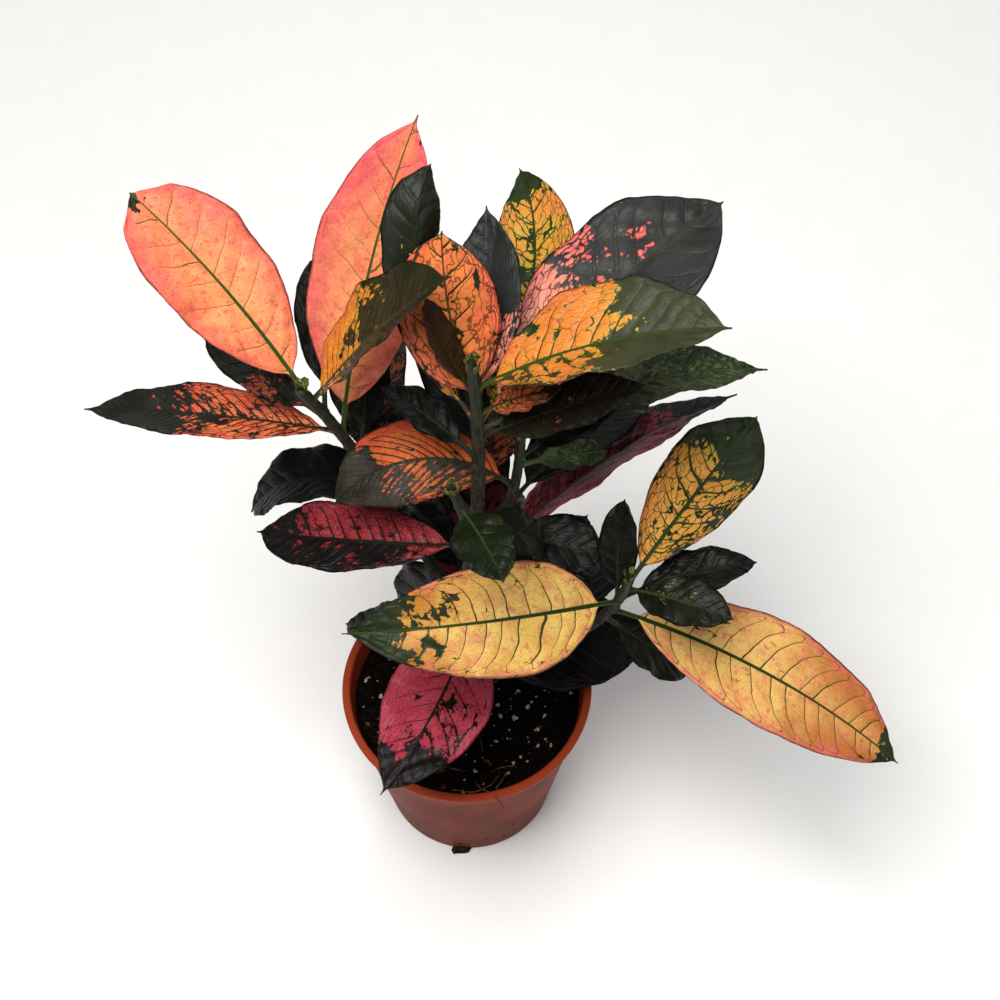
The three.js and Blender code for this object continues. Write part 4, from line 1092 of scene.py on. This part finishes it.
# One boolean for each other piece, all applied, after which the others are removed.
def joinOrCut(piece, others, operation):
    for other in others:
        change = piece.modifiers.new("boolean", "BOOLEAN")
        change.operation = operation
        change.solver = "MANIFOLD"
        change.object = other
    graph = bpy.context.evaluated_depsgraph_get()
    mesh = bpy.data.meshes.new_from_object(piece.evaluated_get(graph))
    piece.modifiers.clear()
    piece.data = mesh
    for other in others:
        bpy.data.objects.remove(other)


stem = addPiece("stemBark", shootMesh("crown", 1), makeBarkMaterial(), "stem")
sideShoots = [shootMesh(name, k + 2) for k, name in enumerate(["left", "mid", "front", "right"])]
joinOrCut(stem, [looseObject(mesh.name, mesh) for mesh in sideShoots], "UNION")
print("the stem has forked:", len(stem.data.polygons), "faces")

# Young leaves round each bud, still folded and pale: turn from the shoot's heading, rise, length and width
youngLeaves = [[20, 80, 6, 2.2], [150, 74, 5, 2.2], [265, 66, 4.5, 2], [80, 60, 4, 2]]
for index, shoot in enumerate(leaves):
    for k, (turn, rise, length, width) in enumerate(youngLeaves):
        row = [1.0, 3, turn + 40 * index, rise, 12, 0, 0, length, width, "spear"]
        name = f"bud{capitalised(shoot)}{k + 1}"
        mesh = leafMesh(name, shoot, row, 0.1 * k, 60 + 5 * index + k, dyes["sprout"]["veins"])
        addPiece(name, mesh, leafMaterials["sprout"])

# The pot

pot = {
    "height": 104, "rimRadius": 62, "baseRadius": 44, "wall": 1.6, "floor": 2, "footChamfer": 1,
    "bandHeight": 13, "bandStep": 1.8, "bandSlope": 1, "lip": 2.6, "lipOverhang": 1.6, "lipRound": 0.9,
    "sides": 180, "drainHoles": 8, "drainHoleRadius": 4, "drainCircle": 33, "cornerRound": 0.8,
}
bandBottom = pot["height"] - pot["bandHeight"]
wallTop = pot["rimRadius"] - pot["lip"] - pot["bandStep"]


# The outer wall's radius at a height: it goes evenly from the foot to the band.
def wallRadius(z):
    return pot["baseRadius"] + (wallTop - pot["baseRadius"]) * z / bandBottom


# Each corner between two others becomes a short arc, and long flats get points between.
def roundedCorners(corners, radius, steps=5):
    corners = np.array(corners, float)
    path = [corners[:1]]
    for before, corner, after in zip(corners, corners[1:], corners[2:]):
        back, on = before - corner, after - corner
        reach = min(radius, 0.45 * np.linalg.norm(back), 0.45 * np.linalg.norm(on))
        first = corner + back / np.linalg.norm(back) * reach
        last = corner + on / np.linalg.norm(on) * reach
        u = np.linspace(0, 1, steps)[:, None]
        path.append((1 - u) ** 2 * first + 2 * u * (1 - u) * corner + u * u * last)
    path.append(corners[-1:])
    path = np.vstack(path)
    pieces = [path[:1]]
    for a, b in zip(path, path[1:]):
        count = max(1, int(np.linalg.norm(b - a) / 4))
        pieces.append(a + (b - a) * np.linspace(0, 1, count + 1)[1:, None])
    return np.vstack(pieces)


# The wall's profile turned round Z, a hair out of round as thin plastic is.
def potMesh():
    inside = wallRadius(pot["height"]) - pot["wall"]
    lipBottom = pot["height"] - pot["lip"]
    rim, top, soft = pot["rimRadius"], pot["height"], pot["lipRound"]
    profile = roundedCorners([
        [6, 0], [pot["baseRadius"] - pot["footChamfer"], 0], [pot["baseRadius"], pot["footChamfer"]],
        [wallTop, bandBottom], [wallTop + pot["bandStep"], bandBottom + pot["bandSlope"]],
        [rim - pot["lipOverhang"], lipBottom], [rim, lipBottom + soft],
        [rim, top - soft], [rim - soft, top], [inside + soft, top], [inside, top - soft],
        [wallRadius(pot["floor"]) - pot["wall"], pot["floor"]], [6, pot["floor"]],
    ], pot["cornerRound"])
    angle = (2 * np.pi * np.arange(pot["sides"]) / pot["sides"])[None, :]
    z = profile[:, 1][:, None]
    high = z / pot["height"]
    uneven = 1 + 0.0016 * high * (np.sin(2 * angle + 0.6) + 0.6 * np.sin(5 * angle))
    ringed = 0.05 * np.sin(z * 1.3) * (z > 3) * (z < bandBottom - 2)
    radius = (profile[:, 0][:, None] + ringed) * uneven
    points = np.stack([radius * np.cos(angle), radius * np.sin(angle), z + 0 * angle], -1)
    everything = np.concatenate([points.reshape(-1, 3), [[0, 0, 0], [0, 0, pot["floor"]]]])
    return makeMesh("nurseryPot", everything, skinFaces(len(profile), pot["sides"]))


# A plain round plug, which the drain hole is cut with.
def drainMesh(k):
    angle = 2 * np.pi * np.arange(32) / 32
    middle = 2 * np.pi * k / pot["drainHoles"]
    ring = np.stack([np.cos(angle), np.sin(angle), 0 * angle], -1) * pot["drainHoleRadius"]
    ring[:, 0] += pot["drainCircle"] * math.cos(middle)
    ring[:, 1] += pot["drainCircle"] * math.sin(middle)
    rings = np.stack([ring - [0, 0, 5], ring + [0, 0, 5]])
    everything = np.concatenate([rings.reshape(-1, 3), rings.mean(1)])
    return makeMesh("drainPlug", everything, skinFaces(2, 32))


potSkin = {
    "gloss": {"IOR": 1.46, "Specular IOR Level": 0.06},
    "wall": "7c321e", "wallTwo": "642a1e", "foot": "5c382e",
    # the rim tone is painted light: the band and lip drawn brighter than the same plastic below
    "rim": "943a20", "dust": "84584a", "dirt": "2a1a14",
    "dirtCells": 220.0,  # to a metre
}


# Thin coloured plastic: brighter on the band and lip, which is painted light, greyer down the wall,
# scuffed, and dusty with soil. The dirt is a dot in some of the cells, more of them near the foot.
def makePotMaterial():
    material, tree, shader = startMaterial("terracottaPlastic", potSkin["gloss"])
    place = objectPlace(tree)
    z = addNode(tree, "ShaderNodeSeparateXYZ", {0: place}).outputs["Z"]
    high = between(tree, z, (bandBottom - 4) * mm, (pot["height"] - 2) * mm)
    low = calc(tree, "SUBTRACT", 1.0, between(tree, z, 0.0, 0.06))
    veil = noiseAt(tree, place, 28.0, 4.0)
    veiled = between(tree, veil, 0.35, 0.7)
    wall = blendColours(tree, veiled, tone(potSkin["wall"]), tone(potSkin["wallTwo"]))
    wall = blendColours(tree, calc(tree, "MULTIPLY", low, 0.4), wall, tone(potSkin["foot"]))
    # painted light: the band and lip take the brighter rim tone
    plastic = blendColours(tree, high, wall, tone(potSkin["rim"]))
    streaks = noiseAt(tree, objectPlace(tree, (1, 1, 0.3)), 60.0, 5.0)
    dusty = calc(tree, "MULTIPLY", between(tree, streaks, 0.52, 0.75), 0.15)
    plastic = blendColours(tree, dusty, plastic, tone(potSkin["dust"]))

    cells = {"Vector": place, "Scale": potSkin["dirtCells"]}
    specks = addNode(tree, "ShaderNodeTexVoronoi", cells).outputs
    crowd = calc(tree, "MULTIPLY", between(tree, veil, 0.5, 0.7), 0.1)
    crowd = calc(tree, "MULTIPLY_ADD", low, 0.14, crowd)
    chosen = calc(tree, "LESS_THAN", channel(tree, specks["Color"], 0), crowd)
    size = calc(tree, "MULTIPLY", channel(tree, specks["Color"], 1), 0.35)
    dirt = calc(tree, "MULTIPLY", chosen, calc(tree, "LESS_THAN", specks["Distance"], size))
    plastic = blendColours(tree, calc(tree, "MULTIPLY", dirt, 0.85), plastic, tone(potSkin["dirt"]))
    plug(tree, plastic, shader.inputs["Base Color"])
    rough = calc(tree, "MULTIPLY_ADD", veil, 0.2, 0.4)
    plug(tree, calc(tree, "MULTIPLY_ADD", dirt, 0.4, rough), shader.inputs["Roughness"])
    scratches = noiseAt(tree, objectPlace(tree, (1, 1, 6)), 120.0, 4.0)
    setRelief(tree, shader, calc(tree, "MULTIPLY_ADD", dirt, 1.5, scratches), 0.0001, 0.6)
    return material


potPiece = addPiece("nurseryPot", potMesh(), makePotMaterial(), "pot")
drains = [looseObject(f"drainPlug{k}", drainMesh(k)) for k in range(pot["drainHoles"])]
joinOrCut(potPiece, drains, "DIFFERENCE")
print("the pot is turned:", len(potPiece.data.polygons), "faces")

# The soil and what lies in it

soil = {
    "level": 92, "crown": 3, "lumps": 1.4, "rings": 120, "sides": 240, "bottom": 2.4, "gap": 0.3,
    "coarse": 9, "crumbs": 3.2, "grit": 1.6,  # sizes of its unevenness
}
# Dark tone, pale tone, roughness and how fine the grain is, in waves per metre
earths = {
    # the soil's own dark colour, deepened to near black as painted shade for the shade under the leaves
    "pottingEarthPaintedShade": ("050302", "150f0b", 0.95, 600.0),
    "barkChip": ("2c1c12", "5a3c26", 0.9, 400.0),
    # white perlite greyed as painted shade, for the shade it lies in under the leaves
    "perlitePaintedShade": ("8c867a", "c4c0b4", 0.85, 900.0),
    "strawFibre": ("4a3420", "8c6c46", 0.8, 300.0),
    "driedMud": ("1c120c", "3c2a1e", 0.95, 600.0),
}
# What is strewn on the soil: how many, between which sizes, how far out and how deep it lies
strewn = {
    "soilCrumbs": {"count": 420, "sizes": (1.2, 4.0), "seed": 21, "reach": 53, "sunk": 0.35},
    "barkChips": {"count": 46, "sizes": (1.5, 4.4), "seed": 22, "reach": 52, "sunk": 0.3, "flatness": 0.4},
    "perlite": {"count": 150, "sizes": (0.6, 2.3), "seed": 23, "reach": 53, "sunk": 0.35, "dent": 0.36,
                "levels": 3},
}
straw = {
    "count": 20, "seed": 24, "thickness": 0.38, "shortest": 5, "longest": 17, "reach": 50, "stop": 53.0,
}
# Fine roots, one of which hangs over the front of the rim, point by point
rimRoots = {
    "thickness": 0.6,
    "paths": [
        [[4, -47, 93], [7, -52, 96], [12, -57, 102], [15, -61, 104.8], [17, -62.6, 103], [17.5, -61.9, 98],
         [18.5, -60.8, 93]],
        [[16, -44, 94], [12, -50, 95], [6, -54, 97.5], [2, -55.5, 99], [-3, -53, 96], [-8, -52, 94]],
        [[20, -42, 94], [17, -49, 97], [14, -54, 100], [17, -55, 101], [22, -51, 97]],
    ],
}
mudClump = {"place": (-4, -44.5, 0.0), "size": (5.5, 2.8, 2.4), "seed": 77, "dent": 0.2, "raised": 1.2}


# The solid's own lumps, and crumbs that are the sharp folds of two smooth random fields.
def soilHeight(x, y):
    radius = np.hypot(x, y)
    angle = np.arctan2(y, x)
    outward = radius / (wallRadius(soil["level"]) - pot["wall"])
    ripples = np.sin(radius * 0.21 + 3 * angle) + np.sin(radius * 0.13 - 5 * angle + 1)
    lump = soil["lumps"] / 2 * ripples * outward * (1 - outward**6)
    flat = np.stack([x.ravel(), y.ravel(), 0 * x.ravel()], -1)
    coarse = np.abs(clouds(flat, soil["coarse"], 11)).reshape(x.shape)
    crumbs = np.abs(clouds(flat, soil["crumbs"], 12)).reshape(x.shape)
    grit = clouds(flat, soil["grit"], 13).reshape(x.shape)
    rise = soil["level"] + soil["crown"] * (1 - outward**2) + lump
    return rise - 1.0 * coarse + 0.9 * crumbs + 0.22 * grit - 0.4


# Rings up the pot's wall and then inwards over the top, whose height the soil's own function gives.
def soilMesh():
    bottomRadius = wallRadius(soil["bottom"]) - pot["wall"] - soil["gap"]
    topRadius = wallRadius(soil["level"]) - pot["wall"] - soil["gap"]
    angle = 2 * np.pi * np.arange(soil["sides"]) / soil["sides"]
    wallShare = np.linspace(0, 1, 12)[:-1]
    around = np.stack([np.cos(angle), np.sin(angle)], -1)
    edgeHeight = soilHeight(topRadius * around[:, 0], topRadius * around[:, 1])
    rows = []
    for w in wallShare:
        ring = (bottomRadius + (topRadius - bottomRadius) * w) * around
        rows.append(np.column_stack([ring, soil["bottom"] + (edgeHeight - soil["bottom"]) * w]))
    radii = topRadius * (1 - np.arange(soil["rings"]) / soil["rings"])
    x = radii[:, None] * around[:, 0]
    y = radii[:, None] * around[:, 1]
    rows.append(np.stack([x, y, soilHeight(x, y)], -1).reshape(-1, 3))
    middle = soilHeight(np.zeros(1), np.zeros(1))[0]
    points = np.vstack([*rows, [[0, 0, soil["bottom"]], [0, 0, middle]]])
    return makeMesh("pottingSoil", points, skinFaces(len(wallShare) + soil["rings"], soil["sides"]))


# Crumbly stuff: two tones in fine grains, with paler fibres over them; the dark tone is painted shade for
# pits that catch no light.
def makeEarthMaterial(name):
    darkTone, paleTone, roughness, scale = earths[name]
    gloss = {"IOR": 1.4, "Specular IOR Level": 0.06, "Roughness": roughness}
    material, tree, shader = startMaterial(name, gloss)
    place = objectPlace(tree)
    grains = noiseAt(tree, place, scale, 4.0)
    fibres = noiseAt(tree, place, scale * 2.6, 2.0)
    colour = blendColours(tree, between(tree, grains, 0.4, 0.68), tone(darkTone), tone(paleTone))
    colour = blendColours(tree, between(tree, fibres, 0.6, 0.8), colour, tone(paleTone))
    plug(tree, colour, shader.inputs["Base Color"])
    height = calc(tree, "ADD", grains, calc(tree, "MULTIPLY", fibres, 0.5))
    setRelief(tree, shader, height, 0.0006, 0.9)
    return material


# The points and faces of a coarse ball, which each lump is bent from.
def lumpStarter(levels=2):
    ball = bpy.data.meshes.new("lumpStarter")
    builder = bmesh.new()
    bmesh.ops.create_icosphere(builder, subdivisions=levels, radius=1)
    builder.to_mesh(ball)
    builder.free()
    points = np.array([v.co for v in ball.vertices])
    faces = np.array([list(p.vertices) for p in ball.polygons])
    bpy.data.meshes.remove(ball)
    return points, faces


# Irregular lumps on the soil: each a ball pulled out along its axes, dented by random waves and turned.
def scatteredLumps(name, count, sizes, seed, reach, sunk, flatness=0.75, dent=0.22, levels=2):
    random = np.random.default_rng(seed)
    ball, faces = lumpStarter(levels)
    allPoints = []
    allFaces = []
    for k in range(count):
        radius = reach * math.sqrt(random.uniform(0.01, 1))
        angle = random.uniform(0, 2 * np.pi)
        x, y = radius * math.cos(angle), radius * math.sin(angle)
        size = sizes[0] + (sizes[1] - sizes[0]) * random.random() ** 2
        stretch = random.uniform(0.7, 1.25, 3) * [1, 1, flatness]
        dents = 1 + dent * clouds(ball, 1.1, seed * 1000 + k, 6)
        turn = turnMatrix(random.uniform(0, 2 * np.pi))
        lump = (ball * dents[:, None] * stretch * size / 2) @ turn
        z = soilHeight(np.array([x]), np.array([y]))[0] + size * (0.5 - sunk) * flatness
        allFaces.append(faces + k * len(ball))
        allPoints.append(lump + [x, y, z])
    return makeMesh(name, np.vstack(allPoints), [np.vstack(allFaces)])


# Thin closed tubes along smooth paths, thinner at both ends. A path's points are averaged with their
# neighbours a few times over.
def strandMesh(name, strands, thickness, ring=7):
    allPoints = []
    quads = []
    fans = []
    offset = 0
    for path in strands:
        knots = np.array(path, float)
        u = np.linspace(0, len(knots) - 1, 6 * len(knots))
        smooth = np.stack([np.interp(u, np.arange(len(knots)), knots[:, k]) for k in range(3)], -1)
        for _ in range(4):
            smooth[1:-1] = (smooth[:-2] + 2 * smooth[1:-1] + smooth[2:]) / 4
        sideways, other = crossways([0.3, 0.2, 0.93], directions(smooth))
        share = np.linspace(0, 1, len(smooth))
        radius = (thickness / 2 * (0.35 + 0.65 * np.sin(np.pi * share) ** 0.4))[:, None, None]
        angle = (2 * np.pi * np.arange(ring) / ring)[None, :, None]
        outward = sideways[:, None] * np.cos(angle) + other[:, None] * np.sin(angle)
        rings = smooth[:, None] + radius * outward
        allPoints.append(np.concatenate([rings.reshape(-1, 3), rings[[0, -1]].mean(1)]))
        sideFaces, endFaces = skinFaces(len(smooth), ring)
        quads.append(sideFaces + offset)
        fans.append(endFaces + offset)
        offset += len(smooth) * ring + 2
    return makeMesh(name, np.vstack(allPoints), [np.vstack(quads), np.vstack(fans)])


# Bits of straw and rootlet lying on the soil: short bowed paths that follow its height.
def strawStrands():
    random = np.random.default_rng(straw["seed"])
    steps = np.linspace(-0.5, 0.5, 6)
    strands = []
    for _ in range(straw["count"]):
        radius = straw["reach"] * math.sqrt(random.uniform(0.05, 1))
        angle = random.uniform(0, 2 * np.pi)
        heading = random.uniform(0, 2 * np.pi)
        length = random.uniform(straw["shortest"], straw["longest"])
        bow = random.uniform(-0.25, 0.25) * steps**2 * 4
        x = radius * math.cos(angle) + length * (steps * math.cos(heading) - bow * math.sin(heading))
        y = radius * math.sin(angle) + length * (steps * math.sin(heading) + bow * math.cos(heading))
        pull = np.minimum(1, straw["stop"] / np.maximum(np.hypot(x, y), 1))
        x, y = x * pull, y * pull
        z = soilHeight(x, y) + 0.5 + random.uniform(0, 1.2) * (0.25 - steps**2) * 4
        strands.append(np.stack([x, y, z], -1))
    return strands


# A flat lump of dried mud stuck to the foot, level underneath.
def mudMesh():
    ball, faces = lumpStarter()
    dents = 1 + mudClump["dent"] * clouds(ball, 1.1, mudClump["seed"], 8)
    points = ball * dents[:, None] * mudClump["size"]
    points[:, 2] = np.maximum(points[:, 2] + mudClump["raised"], 0.05)
    return makeMesh("driedMud", points + mudClump["place"], [faces])


materials = {name: makeEarthMaterial(name) for name in earths}
addPiece("pottingSoil", soilMesh(), materials["pottingEarthPaintedShade"], "soil")
for name, made in zip(strewn, ("pottingEarthPaintedShade", "barkChip", "perlitePaintedShade")):
    addPiece(name, scatteredLumps(name, **strewn[name]), materials[made])
strawMesh = strandMesh("strawBits", strawStrands(), straw["thickness"])
addPiece("strawBits", strawMesh, materials["strawFibre"])
rootMesh = strandMesh("rimRoots", rimRoots["paths"], rimRoots["thickness"])
addPiece("rimRoots", rootMesh, materials["strawFibre"])
addPiece("driedMud", mudMesh(), materials["driedMud"])
print("the soil is filled in")

# The floor


# A wide plate of pale paper, level with the pot's base.
def makeFloor():
    corners = np.array([[-1, -1], [1, -1], [1, 1], [-1, 1]]) * 3000.0
    low = np.column_stack([corners, np.full(4, -20.0)])
    high = np.column_stack([corners, np.full(4, -0.02)])
    points = np.vstack([low, high])
    faces = np.array([[3, 2, 1, 0], [4, 5, 6, 7], [0, 1, 5, 4], [1, 2, 6, 5], [2, 3, 7, 6], [3, 0, 4, 7]])
    mesh = makeMesh("paperFloor", points, [faces])
    mesh.polygons.foreach_set("use_smooth", np.zeros(6, bool))
    material, tree, shader = startMaterial("palePaper", {"Roughness": 0.9, "Specular IOR Level": 0.2})
    fleck = noiseAt(tree, objectPlace(tree), 40.0, 3.0)
    plug(tree, blendColours(tree, fleck, tone("f7f7f6"), tone("fbfbfb")), shader.inputs["Base Color"])
    floor = looseObject("paperFloor", mesh)
    mesh.materials.append(material)


makeFloor()

print("the scene is made")
